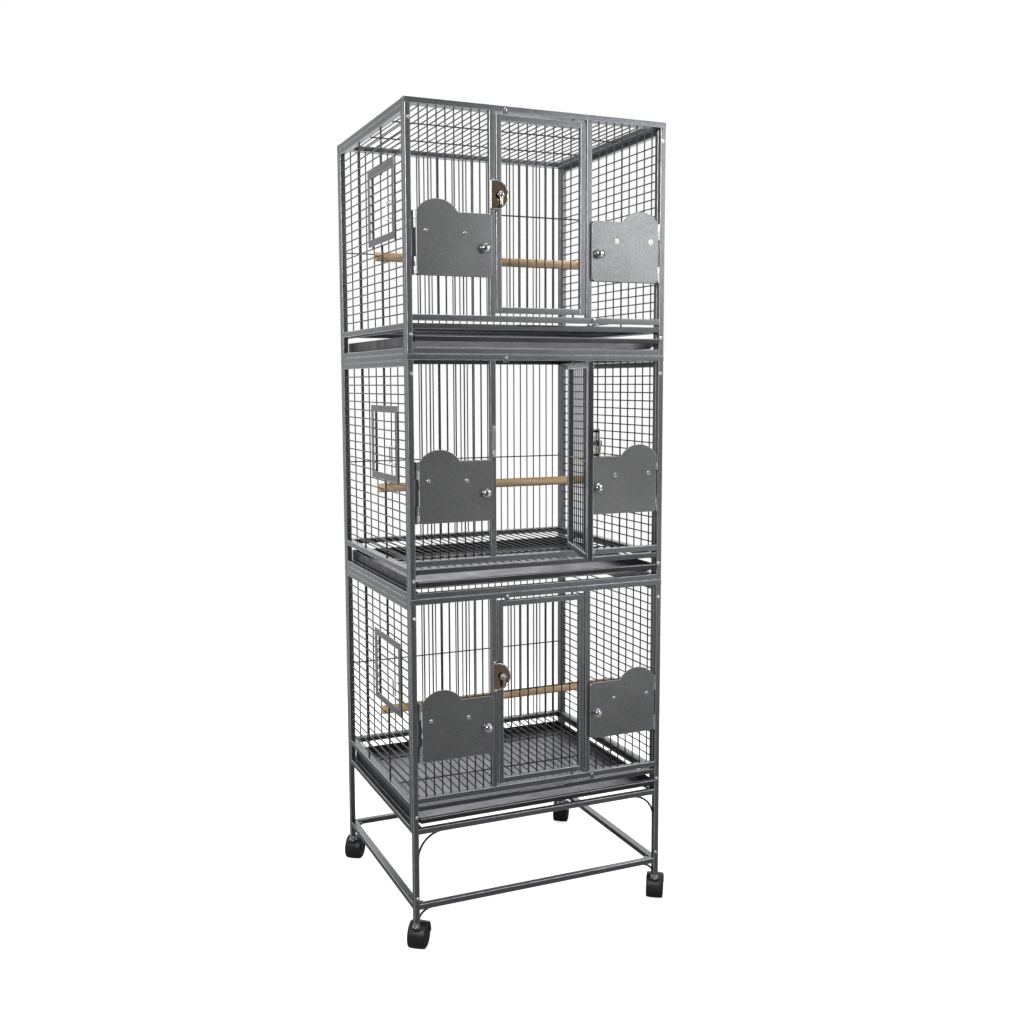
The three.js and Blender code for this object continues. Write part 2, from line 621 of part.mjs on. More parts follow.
// A dowel with a level notch in each end that sits over a wire of the side panel.
function perch() {
  const end = HALF - SINK;
  const notchStart = HALF - SIDE_PLANE - WIRE / 2 - GAP;
  const notch = (side) => block(
    sorted(side * notchStart, side * HALF),
    around(PERCH_Y, 3 * PERCH_RADIUS),
    around(-PERCH_DOWN, WIRE + 2 * GAP),
  );
  const dowel = bar([-end, PERCH_Y, -PERCH_DOWN], [end, PERCH_Y, -PERCH_DOWN], PERCH_RADIUS, PERCH_SIDES);
  return join([dowel], [notch(-1), notch(1)]);
}

// A bolted tab that swivels on the face of a rail; built about its bolt.
function tab({ width, drop }) {
  return join([
    block(around(0, width), [-TAB_THICK, 0], [-drop, TAB_ABOVE]),
    bar([0, -TAB_THICK - BOLT_HEAD.rise, 0], [0, -TAB_THICK / 2, 0], BOLT_HEAD.radius, FINE_ROUND),
  ]);
}

// ---- stand ----

function stretcherFrame() {
  const z = [STRETCHER_TOP - TUBE, STRETCHER_TOP];
  const inX = INNER - GAP;
  const sideX = INNER - BITE * 2; // the side stretchers' inner face
  const frontY = FRONT + TUBE;
  const backY = BACK - TUBE;
  const parts = [
    block([-inX, inX], [FRONT, frontY], z),
    block([-inX, inX], [backY, BACK], z),
  ];
  const legs = [];
  for (const side of [-1, 1]) {
    const edges = (a, b) => sorted(side * a, side * b);
    parts.push(block(edges(sideX, HALF), [frontY + GAP, backY - GAP], z));
    // Gussets tie the four stretchers together at the corners, inside the legs.
    const gussetX = edges(INNER - GUSSET.reach, INNER + BITE);
    const gussetZ = [z[0] + GUSSET.inset, z[1] - GUSSET.inset];
    parts.push(block(gussetX, [FRONT + GUSSET.start, frontY + GUSSET.back], gussetZ));
    parts.push(block(gussetX, [backY - GUSSET.back, BACK - GUSSET.start], gussetZ));
    const corner = [side * (INNER - BRACE_BAR), FRONT + TUBE / 2, z[0] + SINK];
    parts.push(...quarterArc(corner, SMALL_BRACE, SMALL_BRACE_DROP, side));
    // The legs pass the corners with clearance.
    const legX = edges(inX, HALF + SINK);
    const legZ = [z[0] - TUBE, z[1] + TUBE];
    legs.push(block(legX, [FRONT - SINK, frontY + GAP], legZ));
    legs.push(block(legX, [backY - GAP, BACK + SINK], legZ));
  }
  return join(parts, legs);
}

// ---- casters ----

// Stem nut, cover and the centre web that carries the axle; turns about z at the stem.
function casterHood() {
  const inner = WHEEL_RADIUS + HOOD_CLEAR;
  const cover = new THREE.Shape();
  cover.absarc(0, 0, inner + HOOD_THICK, HOOD_START, HOOD_END);
  cover.absarc(0, 0, inner, HOOD_END, HOOD_START, true);
  const web = new THREE.Shape();
  web.absarc(0, 0, inner + SINK, HOOD_START, HOOD_END);
  web.lineTo(-2 * AXLE_RADIUS, -3 * AXLE_RADIUS);
  web.lineTo(2 * AXLE_RADIUS, -3 * AXLE_RADIUS);
  web.holes.push(new THREE.Path().absarc(0, 0, AXLE_RADIUS + GAP, 0, 2 * Math.PI));
  const extrude = (shape, half) => {
    const extrusion = { depth: 2 * half, bevelEnabled: false, curveSegments: 7 };
    const solid = new THREE.ExtrudeGeometry(shape, extrusion).translate(0, 0, -half);
    return solid.rotateX(Math.PI / 2).translate(-TRAIL, 0, WHEEL_RADIUS);
  };
  return join([
    extrude(cover, WHEEL_SPREAD + WHEEL_WIDTH / 2),
    extrude(web, HOOD_HALF),
    bar([0, 0, NUT_BOTTOM], [0, 0, LEG_BOTTOM - GAP], NUT_RADIUS, COARSE_ROUND),
  ]);
}

function wheelPair() {
  const near = HOOD_HALF + 2 * GAP;
  const far = WHEEL_SPREAD + WHEEL_WIDTH / 2;
  return join([
    bar([0, near, 0], [0, far, 0], WHEEL_RADIUS, WHEEL_SIDES),
    bar([0, -far, 0], [0, -near, 0], WHEEL_RADIUS, WHEEL_SIDES),
    bar([0, -near - SINK, 0], [0, near + SINK, 0], AXLE_RADIUS, ROUND),
  ]);
}

// ---- assembly ----

const cage = new THREE.Group();

for (let tier = 1; tier <= TIERS; tier += 1) {
  const group = new THREE.Group();
  const top = TOP - TIER * (tier - 1);
  group.position.z = top;
  cage.add(group);
  const bottomTier = tier === TIERS;
  const postBottom = bottomTier ? LEG_BOTTOM - top : -TIER + GAP;
  const named = (name) => `${name}_${tier}`;

  piece(group, named('front_frame'), frontFrame(postBottom, bottomTier), powderCoat);
  piece(group, named('rear_panel'), rearPanel(postBottom), powderCoat);
  piece(group, named('left_side_panel'), sidePanel(-1), powderCoat);
  piece(group, named('right_side_panel'), sidePanel(1), powderCoat);
  if (tier === 1) piece(group, 'roof_panel', roofPanel(), powderCoat);

  const doorGroup = new THREE.Group();
  doorGroup.position.set(PIVOT_X, FRONT + TUBE / 2, 0);
  doorGroup.rotation.z = tier === 2 ? OPEN_ANGLE : 0;
  group.add(doorGroup);
  piece(doorGroup, named('main_door'), mainDoor(), powderCoat);
  const disc = piece(doorGroup, named('door_latch'), latch(), chrome);
  disc.position.set(PIVOT_INSET - DOOR_WIDTH + TUBE / 2, 0, -LATCH_Z);

  for (const [side, word] of [[-1, 'left'], [1, 'right']]) {
    piece(group, named(`${word}_feeder_door`), feederDoor(side), sheet);
    piece(group, named(`${word}_feeder_knob`), feederKnob(side), chrome);
  }
  piece(group, named('nest_door'), nestDoor(), powderCoat);
  piece(group, named('floor_grate'), grate(), powderCoat);
  piece(group, named('tray'), tray(), trayPaint);
  piece(group, named('perch'), perch(), wood);
  const stop = piece(group, named('door_stop'), tab(DOOR_STOP), powderCoat);
  stop.position.set(DOOR_STOP.x, FRONT - GAP, -DOOR_STOP.down);
  const clip = piece(group, named('grate_clip'), tab(GRATE_CLIP), powderCoat);
  clip.position.set(GRATE_CLIP.x, FRONT - GAP, -GRATE_CLIP.down);
}

piece(cage, 'stretcher_frame', stretcherFrame(), powderCoat);

const corners = [[-1, -1, 'front_left'], [1, -1, 'front_right'], [-1, 1, 'rear_left'], [1, 1, 'rear_right']];
for (const [x, y, word] of corners) {
  const caster = new THREE.Group();
  caster.position.set(x * (HALF - TUBE / 2), y * (DEPTH / 2 - TUBE / 2), 0);
  caster.rotation.z = CASTER_TURN;
  cage.add(caster);
  piece(caster, `caster_${word}`, casterHood(), blackPlastic);
  const wheels = piece(caster, `wheels_${word}`, wheelPair(), blackPlastic);
  wheels.position.set(-TRAIL, 0, WHEEL_RADIUS);
}

// The origin is on the floor, in the middle of the whole object's bounding box.
const middle = new THREE.Box3().setFromObject(cage).getCenter(new THREE.Vector3());
const STEP = 0.1; // the shift is rounded to this
cage.position.set(-Math.round(middle.x / STEP) * STEP, -Math.round(middle.y / STEP) * STEP, 0);
const part = new THREE.Group();
part.add(cage);

export default part;
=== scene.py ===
"""The looks of a three-tier stacked wire cage on a castored stand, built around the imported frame.

Shapes are drawn in millimetres about the middle of the cage (+Z up, doors towards -Y), and move to
the frame's origin and become metres when a piece is made. Each sub-part has its own function, and
each finish its own material.
"""
import json
import math

import bpy
from mathutils import Matrix, Vector

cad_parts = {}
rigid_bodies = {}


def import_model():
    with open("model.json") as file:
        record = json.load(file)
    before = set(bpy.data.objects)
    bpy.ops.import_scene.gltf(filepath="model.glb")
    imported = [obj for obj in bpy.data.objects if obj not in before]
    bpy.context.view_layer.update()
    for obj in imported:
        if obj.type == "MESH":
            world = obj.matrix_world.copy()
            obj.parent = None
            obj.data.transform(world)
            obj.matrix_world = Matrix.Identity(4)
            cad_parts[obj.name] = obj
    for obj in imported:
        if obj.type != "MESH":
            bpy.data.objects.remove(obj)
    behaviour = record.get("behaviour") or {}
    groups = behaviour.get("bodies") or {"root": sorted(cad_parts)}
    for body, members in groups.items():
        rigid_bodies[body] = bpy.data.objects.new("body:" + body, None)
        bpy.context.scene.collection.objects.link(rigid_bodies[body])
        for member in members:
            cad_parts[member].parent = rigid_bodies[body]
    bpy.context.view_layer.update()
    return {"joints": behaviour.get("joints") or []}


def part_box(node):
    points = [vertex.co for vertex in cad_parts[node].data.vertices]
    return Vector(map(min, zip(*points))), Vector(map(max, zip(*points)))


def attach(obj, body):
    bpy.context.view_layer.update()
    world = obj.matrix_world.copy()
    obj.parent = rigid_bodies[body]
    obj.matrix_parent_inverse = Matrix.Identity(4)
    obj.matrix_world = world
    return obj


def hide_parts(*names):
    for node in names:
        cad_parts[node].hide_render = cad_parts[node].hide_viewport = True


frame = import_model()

objects = bpy.context.scene.collection.objects

MM = 0.001
X, Y, Z = 0, 1, 2
UP = (0, 0, 1)
OUT = (0, -1, 0)  # from the front panel towards someone who faces it

# ---- driving dimensions ----

rear_low, rear_high = (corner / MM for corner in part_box("rear_panel_1"))
base_low, base_high = (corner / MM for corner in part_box("stretcher_frame"))
ORIGIN = Vector(((base_low.x + base_high.x) / 2, (base_low.y + base_high.y) / 2, 0))
HALF = (base_high.x - base_low.x) / 2
BACK = (base_high.y - base_low.y) / 2
FRONT = -BACK
TOP = rear_high.z
GAP = 0.3
TIER = TOP - rear_low.z + GAP
TIERS = 3
TUBE = 12.7
WIRE = 3.0
ROD = 4.0
PITCH = 19.0
BITE = 2.0  # how far a wire end runs into its rail
INNER = HALF - TUBE

# Heights below the top of a tier
PANEL_RAIL = 433.0
BACK_RAIL = 450.0  # the same rail on the sides and the rear
LEVEL_WIRE = 256.0
GRATE_TOP = 451.0
GRATE_THICK = 11.5
TRAY_TOP = 477.0
TRAY_HEIGHT = 22.0
LOWEST_RAIL = TIER - TUBE
SIDE_RAIL = TUBE + 1.0

MULLION = 108.0
DOOR_WIDTH = 211.0
DOOR_TOP = 18.5
DOOR_BOTTOM = 427.5
DOOR_WIRES = 8
DOOR_LEVEL = 223.0
PIVOT_INSET = 28.0
LATCH_DOWN = 184.0
KEEPER_HALF = 34.5
KEEPER_OUT = 1.9  # from the mullion's face to the middle of the strip, behind the latch tongue
GUARD_RADIUS = 31.0
GUARD_OFFSET = 12.0  # the round's centre, left of the latch spindle
GUARD_CUT = 23.0  # the straight edge, left of the spindle
GUARD_STANDOFF = 6.0
PIN_RADIUS = 2.5
COLLAR_RADIUS = 4.2

PLATE = 1.5
PLATE_OUTER = HALF - 20.5
PLATE_INNER = HALF - 187.5
PLATE_TOP = 224.0
PLATE_BOTTOM = 354.0
PLATE_CORNER = 9.0
PLATE_FRONT = FRONT - 6.0
HUMP_RISE = 25.0
HUMP_WIDTH = 91.0
HUMP_FILLET = 9.0
HUMP_DIP = 0.45
HINGE_RADIUS = 2.6
HINGE_LENGTH = 36.0
HINGES = (224.0, 318.0)
OPENING_TOP = 228.0
OPENING_BOTTOM = 350.0
PLATE_SCREWS = ((20.0, 40.0), (106.0, 42.0))  # from the outer edge, below the flat top
KNOB_INSET = 17.0
KNOB_DROP = 71.0

NEST_FRONT = FRONT + 70.0
NEST_BACK = FRONT + 260.0
NEST_TOP = 109.0
NEST_BOTTOM = 273.0
NEST_BAR = 15.0
NEST_PLATE = 2.0
PULL_TOP = 196.0
PULL_BOTTOM = 232.0
SIDE_PLANE = 4.0
SIDE_RODS = (FRONT + 186.0, FRONT + 355.0)
TRAY_SLOPE = 33.0
LIP_REACH = 8.0
LIP_HEIGHT = 11.0

STRETCHER_TOP = 105.0
LEG_BOTTOM = 63.0
BRACE_RADIUS = 58.0
SMALL_BRACE = (35.0, 26.0)  # reach along the rail, drop down the leg

WHEEL_RADIUS = 27.0
WHEEL_WIDTH = 16.0
WHEEL_SPREAD = 11.0

PERCH_RADIUS = 10.0
PERCH_Y = FRONT + 220.0

POST_SCREWS = (41.0, 475.0)  # below a tier's top
POST_SCREW_INSET = 8.0
LEG_BOLT_Z = 119.0

joints = {joint["name"]: joint for joint in frame["joints"]}


def pivot(joint):
    """Where a joint's axis passes, in millimetres about the cage's middle."""
    return Vector(joints[joint]["pos_m"]) / MM - ORIGIN


def spaced(low, high):
    """Evenly spaced places between two faces, as near to the wire pitch as fits."""
    gaps = round((high - low) / PITCH)
    return [low + (high - low) * (i + 1) / gaps for i in range(gaps - 1)]


SIDE_LEVELS = spaced(SIDE_RAIL + TUBE, BACK_RAIL)
PERCH_DOWN = SIDE_LEVELS[13]


def ends(side, a, b):
    """A span on one side of the middle, -1 left or 1 right, low end first."""
    return (side * a, side * b) if side * a < side * b else (side * b, side * a)


def around(centre, size):
    return (centre - size / 2, centre + size / 2)


# ---- shapes ----

def rounded_rectangle(width, height, corner, steps=3):
    """Points of a rectangle with round corners, counter-clockwise, each with its share of the edge value for
    wear and painted highlight.
    """
    points = []
    for quarter, (sx, sy) in enumerate(((1, 1), (-1, 1), (-1, -1), (1, -1))):
        for step in range(steps + 1):
            angle = (quarter + step / steps) * math.pi / 2
            u = sx * (width / 2 - corner) + corner * math.cos(angle)
            v = sy * (height / 2 - corner) + corner * math.sin(angle)
            points.append((u, v, 1.0 if 0 < step < steps else 0.0))
    return points


def square_to(direction):
    """Two unit vectors square to a direction and right-handed with it."""
    along = direction.normalized()
    helper = Vector(UP) if abs(along.z) < 0.9 else Vector((1, 0, 0))
    u = helper.cross(along).normalized()
    return u, along.cross(u)


def inset(outline, amount):
    """A counter-clockwise outline moved inwards by an amount."""
    moved = []
    count = len(outline)
    for i, point in enumerate(outline):
        before = (Vector(point) - Vector(outline[i - 1])).normalized()
        after = (Vector(outline[(i + 1) % count]) - Vector(point)).normalized()
        first = Vector((-before.y, before.x))
        second = Vector((-after.y, after.x))
        moved.append(Vector(point) + (first + second) * amount / (1 + first.dot(second)))
    return [tuple(point) for point in moved]


def arc(centre, radius, start, end, steps):
    """Points along an arc, angles in degrees."""
    points = []
    for i in range(steps + 1):
        angle = math.radians(start + (end - start) * i / steps)
        points.append((centre[0] + radius * math.cos(angle), centre[1] + radius * math.sin(angle)))
    return points


def bent(corners, radius, steps=5):
    """A path through corners, each inner one rounded off."""
    path = [Vector(corners[0])]
    for before, corner, after in zip(corners, corners[1:], corners[2:]):
        corner = Vector(corner)
        start = corner + (Vector(before) - corner).normalized() * radius
        end = corner + (Vector(after) - corner).normalized() * radius
        for i in range(steps + 1):
            t = i / steps
            path.append(start * (1 - t) ** 2 + corner * 2 * t * (1 - t) + end * t ** 2)
    path.append(Vector(corners[-1]))
    return path


WIRE_SHADE_MARK = -1.0  # the value stored on wires, which darkens their colour below the tubes' as painted shade


class Shape:
    """Closed shells that run into each other as welded metal does, in millimetres."""

    def __init__(self):
        self.points = []
        self.wear_and_painted_light = []
        self.faces = []

    def shell(self, rings, wear_and_painted_light=None, loop=False):
        """Skins a row of equal rings, each counter-clockwise about the direction of travel."""
        start = len(self.points)
        count = len(rings[0])
        for row, ring in enumerate(rings):
            self.points.extend(tuple(point) for point in ring)
            self.wear_and_painted_light.extend(wear_and_painted_light[row] if wear_and_painted_light else [0.0] * count)
        rows = len(rings)
        for row in range(rows if loop else rows - 1):
            here = start + row * count
            there = start + (row + 1) % rows * count
            for i in range(count):
                j = (i + 1) % count
                self.faces.append((here + i, here + j, there + j, there + i))
        if not loop:
            self.faces.append(tuple(start + i for i in reversed(range(count))))
            self.faces.append(tuple(start + (rows - 1) * count + i for i in range(count)))

    def block(self, x, y, z, along, corner=1.5, bevel=0.3):
        """A bar between a low and a high on each axis, with round long edges and softened ends."""
        spans = (x, y, z)
        across, up = (along + 1) % 3, (along + 2) % 3
        width = spans[across][1] - spans[across][0]
        height = spans[up][1] - spans[up][0]
        corner = min(corner, width * 0.45, height * 0.45)
        low, high = spans[along]
        rings, wear_and_painted_light = [], []
        for at, shrink in ((low, bevel), (low + bevel, 0), (high - bevel, 0), (high, bevel)):
            softened = max(corner - shrink, corner * 0.3)
            ring = []
            section = rounded_rectangle(width - 2 * shrink, height - 2 * shrink, softened)
            for u, v, _ in section:
                point = [0.0, 0.0, 0.0]
                point[along] = at
                point[across] = sum(spans[across]) / 2 + u
                point[up] = sum(spans[up]) / 2 + v
                ring.append(point)
            rings.append(ring)
            wear_and_painted_light.append([wear_and_light_share for _, _, wear_and_light_share in section])
        self.shell(rings, wear_and_painted_light)

    def sweep(self, path, radius, sides=10, normal=None, wear_and_painted_light=WIRE_SHADE_MARK):
        """A round bar along a path that lies in one plane, whose normal is given if it bends."""
        path = [Vector(point) for point in path]
        rings = []
        for i, point in enumerate(path):
            travel = path[min(i + 1, len(path) - 1)] - path[max(i - 1, 0)]
            if normal:
                u = Vector(normal).normalized()
                v = travel.normalized().cross(u)
            else:
                u, v = square_to(travel)
            ring = []
            for side in range(sides):
                angle = 2 * math.pi * side / sides
                ring.append(point + (u * math.cos(angle) + v * math.sin(angle)) * radius)
            rings.append(ring)
        self.shell(rings, [[wear_and_painted_light] * sides] * len(rings))

    def wire(self, a, b, thick=WIRE, sides=10):
        """A straight round bar between two points."""
        self.sweep((a, b), thick / 2, sides)

    def lathe(self, profile, base, direction, sides=24, turn=0.0):
        """A turned shape: (radius, distance along the direction) pairs from its base up."""
        along = Vector(direction).normalized()
        u, v = square_to(along)
        rings = []
        for radius, distance in profile:
            ring = []
            for side in range(sides):
                angle = 2 * math.pi * side / sides + turn
                spoke = u * math.cos(angle) + v * math.sin(angle)
                ring.append(Vector(base) + along * distance + spoke * radius)
            rings.append(ring)
        self.shell(rings)

    def prism(self, outline, place, low, high, bevel):
        """An outline with depth and softened edges; place(u, v, depth) is right-handed."""
        rings, wear_and_painted_light = [], []
        rim = 3 * bevel
        for depth, shrink, wear_and_light_share in ((low, rim, 0.0), (low, bevel, 0.5), (low + bevel, 0, 1.0),
                                    (high - bevel, 0, 1.0), (high, bevel, 0.5), (high, rim, 0.0)):
            edge = inset(outline, shrink) if shrink else outline
            rings.append([place(u, v, depth) for u, v in edge])
            wear_and_painted_light.append([wear_and_light_share] * len(outline))
        self.shell(rings, wear_and_painted_light)

    def moved(self, matrix):
        self.points = [tuple(matrix @ Vector(point)) for point in self.points]
        return self

    def mirrored(self):
        self.points = [(-x, y, z) for x, y, z in self.points]
        self.faces = [tuple(reversed(face)) for face in self.faces]
        return self


SHARP = math.radians(50)


def make(name, shape, finish, body, stands_for=None):
    """Turns a shape into a piece that rides on a body and may stand for a CAD node."""
    mesh = bpy.data.meshes.new(name)
    mesh.from_pydata([(Vector(point) + ORIGIN) * MM for point in shape.points], [], shape.faces)
    # Per-point edge value: wear and painted highlight on rounded edges, painted shade on wires.
    attribute = mesh.attributes.new("edge_wear_and_painted_light", "FLOAT", "POINT")
    attribute.data.foreach_set("value", shape.wear_and_painted_light)
    mesh.polygons.foreach_set("use_smooth", [True] * len(mesh.polygons))
    mesh.set_sharp_from_angle(angle=SHARP)
    mesh.materials.append(finish)
    mesh.update()
    piece = bpy.data.objects.new(name, mesh)
    objects.link(piece)
    normals = piece.modifiers.new("even_normals", "WEIGHTED_NORMAL")
    normals.keep_sharp = True
    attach(piece, body)
    if stands_for:
        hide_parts(stands_for)


# ---- finishes ----

def fill_band(band, stops):
    """Sets a band's stops, each a place with a colour or a grey."""
    while len(band.elements) < len(stops):
        band.elements.new(0.5)
    for element, (place, colour) in zip(band.elements, stops):
        element.position = place
        element.color = (*colour, 1) if isinstance(colour, tuple) else (colour, colour, colour, 1)


class Finish:
    """A node material, with short names for the nodes that all the finishes use."""

    def __init__(self, name, metallic, roughness, specular=0.5):
        self.material = bpy.data.materials.new(name)
        self.material.use_nodes = True
        self.tree = self.material.node_tree
        self.shader = self.tree.nodes["Principled BSDF"]
        self.shader.inputs["Metallic"].default_value = metallic
        self.shader.inputs["Roughness"].default_value = roughness
        self.shader.inputs["Specular IOR Level"].default_value = specular
        self.where = self.node("TexCoord").outputs["Object"]

    def node(self, kind, **values):
        """A new node with inputs set by name, an underscore standing for a space."""
        node = self.tree.nodes.new("ShaderNode" + kind)
        for name, value in values.items():
            node.inputs[name.replace("_", " ")].default_value = value
        return node

    def link(self, output, socket):
        self.tree.links.new(output, socket)

    def stretched(self, scale):
        node = self.node("Mapping", Scale=scale)
        self.link(self.where, node.inputs["Vector"])
        return node.outputs["Vector"]

    def noise(self, scale, detail, where=None):
        node = self.node("TexNoise", Scale=scale, Detail=detail)
        self.link(where or self.where, node.inputs["Vector"])
        return node.outputs["Fac"]

    def cells(self, scale, output="Distance", feature="F1", where=None):
        node = self.node("TexVoronoi", Scale=scale)
        node.feature = feature
        self.link(where or self.where, node.inputs["Vector"])
        return node.outputs[output]

    def ramp(self, value, *stops):
        """Maps 0..1 to a colour or a grey, through (place, colour) stops."""
        node = self.node("ValToRGB")
        fill_band(node.color_ramp, stops)
        self.link(value, node.inputs["Fac"])
        return node.outputs["Color"]

    def mix(self, share, a, b, blend="MIX"):
        node = self.node("Mix")
        node.data_type = "RGBA"
        node.blend_type = blend
        for socket, value in ((node.inputs["Factor"], share), (node.inputs[6], a), (node.inputs[7], b)):
            if isinstance(value, bpy.types.NodeSocket):
                self.link(value, socket)
            else:
                socket.default_value = (*value, 1) if isinstance(value, tuple) else value
        return node.outputs[2]

    def attribute(self, name):
        node = self.node("Attribute")
        node.attribute_name = name
        return node.outputs["Fac"]

    def colour(self, socket):
        self.link(socket, self.shader.inputs["Base Color"])

    def roughness(self, socket):
        self.link(socket, self.shader.inputs["Roughness"])

    def bumps(self, *layers):
        """Stacks bump layers, each (height socket, depth in metres, strength)."""
        normal = None
        for height, depth, strength in layers:
            node = self.node("Bump", Distance=depth, Strength=strength)
            self.link(height, node.inputs["Height"])
            if normal:
                self.link(normal, node.inputs["Normal"])
            normal = node.outputs["Normal"]
        self.link(normal, self.shader.inputs["Normal"])


def hammertone(name, dark, light):
    """Grey hammered powder coat: small dimples, flecks that differ in brightness, edges lightened as wear and
    painted highlight, wires darkened as painted shade.
    """
    paint = Finish(name, metallic=0.85, roughness=0.35, specular=0.45)
    flecks = paint.cells(620.0, output="Color")
    fleck = paint.ramp(flecks, (0.1, dark), (0.9, light))
    patches = paint.ramp(paint.noise(14.0, 4.0), (0.3, 0.93), (0.7, 1.06))
    body = paint.mix(1.0, fleck, patches, "MULTIPLY")
    # Rounded edges lighten towards four times the light fleck, broken by noise: a painted highlight along the
    # edges, with some wear.
    wear_and_light_share = paint.ramp(paint.noise(90.0, 3.0), (0.3, 0.45), (0.7, 1.0))
    share = paint.mix(1.0, paint.attribute("edge_wear_and_painted_light"), wear_and_light_share, "MULTIPLY")
    bright = tuple(min(1.0, 4.4 * part) for part in light)
    # Wires, marked -1, are darkened to 0.42 of the coat: painted shade on the thin wires.
    mark = paint.node("Math")
    mark.operation = "MULTIPLY"
    mark.inputs[1].default_value = WIRE_SHADE_MARK
    paint.link(paint.attribute("edge_wear_and_painted_light"), mark.inputs[0])
    wires = paint.ramp(mark.outputs["Value"], (0.0, 1.0), (1.0, 0.42))
    paint.colour(paint.mix(1.0, paint.mix(share, body, bright), wires, "MULTIPLY"))
    paint.roughness(paint.ramp(paint.noise(300.0, 2.0), (0.3, 0.3), (0.7, 0.38)))
    dimples = paint.cells(520.0, feature="SMOOTH_F1")
    paint.bumps((dimples, 0.00008, 0.35), (paint.noise(1500.0, 1.0), 0.00003, 0.3))
    return paint.material


def bright_steel(name, tint, low, high):
    """Chrome or zinc: fine drawn scratches, faint smudges, darker spots."""
    steel = Finish(name, metallic=1.0, roughness=low)
    fine = steel.noise(900.0, 3.0, where=steel.stretched((1.0, 1.0, 0.08)))
    smudge = steel.noise(70.0, 4.0)
    steel.roughness(steel.mix(0.5, steel.ramp(fine, (0.35, low), (0.7, high)),
                              steel.ramp(smudge, (0.4, low), (0.75, high * 1.3))))
    spots = steel.ramp(steel.noise(420.0, 3.0), (0.62, 1.0), (0.8, 0.7))
    steel.colour(steel.mix(1.0, tint, spots, "MULTIPLY"))
    steel.bumps((fine, 0.00001, 0.3))
    return steel.material


def pine(name):
    """Bare dowel: long growth lines, pale and dark grain, a few small knots."""
    wood = Finish(name, metallic=0.0, roughness=0.7, specular=0.3)
    grain = wood.noise(190.0, 5.0, where=wood.stretched((0.045, 1.0, 1.0)))
    rings = wood.noise(60.0, 2.0, where=wood.stretched((0.08, 1.0, 1.0)))
    base = wood.ramp(grain, (0.3, (0.78, 0.5, 0.28)), (0.5, (0.95, 0.66, 0.4)), (0.72, (1.0, 0.79, 0.53)))
    bands = wood.ramp(rings, (0.35, 0.88), (0.6, 1.03))
    knots = wood.ramp(wood.cells(16.0, where=wood.stretched((0.6, 1.6, 1.6))), (0.04, 0.45), (0.13, 1.0))
    wood.colour(wood.mix(1.0, wood.mix(1.0, base, bands, "MULTIPLY"), knots, "MULTIPLY"))
    wood.roughness(wood.ramp(grain, (0.3, 0.8), (0.7, 0.58)))
    wood.bumps((grain, 0.00025, 0.5), (wood.noise(900.0, 2.0), 0.00005, 0.3))
    return wood.material


def moulded(name, colour, roughness, grain):
    """Black moulded plastic: fine spark texture, dusty where it is scuffed."""
    plastic = Finish(name, metallic=0.0, roughness=roughness)
    dust = plastic.ramp(plastic.noise(55.0, 5.0), (0.5, 0.0), (0.85, 0.35))
    scuffs = plastic.ramp(plastic.noise(260.0, 4.0, where=plastic.stretched((1.0, 0.3, 1.0))),
                          (0.6, 0.0), (0.78, 0.5))
    dusty = plastic.mix(dust, colour, (0.09, 0.088, 0.085))
    plastic.colour(plastic.mix(scuffs, dusty, (0.06, 0.06, 0.062)))
    plastic.roughness(plastic.ramp(dust, (0.0, roughness), (0.35, min(1.0, roughness + 0.3))))
    plastic.bumps((plastic.noise(1600.0, 2.0), 0.00006, grain))
    return plastic.material


def coated_sheet(name):
    """Smooth satin paint on the trays: dark where a surface does not face up and pale where it does, as
    painted shade and painted overhead light, with rubbed streaks, edges lightened as wear and painted
    highlight, and orange peel.
    """
    sheet = Finish(name, metallic=0.7, roughness=0.3, specular=0.6)
    # Faces that point up take the pale tone and the rest the dark one: painted overhead light and painted
    # shade.
    dark_tone = sheet.ramp(sheet.noise(9.0, 5.0), (0.3, (0.035, 0.035, 0.038)), (0.7, (0.06, 0.06, 0.064)))
    painted_top_light = sheet.ramp(sheet.noise(9.0, 5.0), (0.3, (0.3, 0.3, 0.325)), (0.7, (0.42, 0.42, 0.445)))
    facing = sheet.node("SeparateXYZ")
    sheet.link(sheet.tree.nodes["Texture Coordinate"].outputs["Normal"], facing.inputs[0])
    patches = sheet.mix(sheet.ramp(facing.outputs["Z"], (0.8, 0.0), (0.95, 1.0)), dark_tone, painted_top_light)
    streaks = sheet.noise(120.0, 6.0, where=sheet.stretched((1.0, 0.1, 1.0)))
    rubs = sheet.ramp(streaks, (0.6, 0.0), (0.85, 0.4))
    # Marked edges lighten towards a pale grey: wear with a painted highlight.
    edges = sheet.mix(sheet.attribute("edge_wear_and_painted_light"), patches, (0.45, 0.45, 0.47))
    sheet.colour(sheet.mix(rubs, edges, (0.12, 0.12, 0.125)))
    sheet.roughness(sheet.ramp(sheet.noise(40.0, 3.0), (0.3, 0.3), (0.75, 0.5)))
    sheet.bumps((sheet.noise(420.0, 2.0), 0.00006, 0.4))
    return sheet.material


PAINT = hammertone("hammertone_tube", (0.12, 0.123, 0.131), (0.205, 0.21, 0.222))
PLATE_PAINT = hammertone("hammertone_plate", (0.17, 0.172, 0.174), (0.25, 0.253, 0.256))
# The grate is a darker copy of the tube coat: painted shade from the rails above it.
SHADED_GRATE_PAINT = hammertone("hammertone_grate_painted_shade", (0.075, 0.076, 0.08), (0.13, 0.132, 0.137))
CHROME = bright_steel("chrome", (0.66, 0.66, 0.67), 0.06, 0.16)
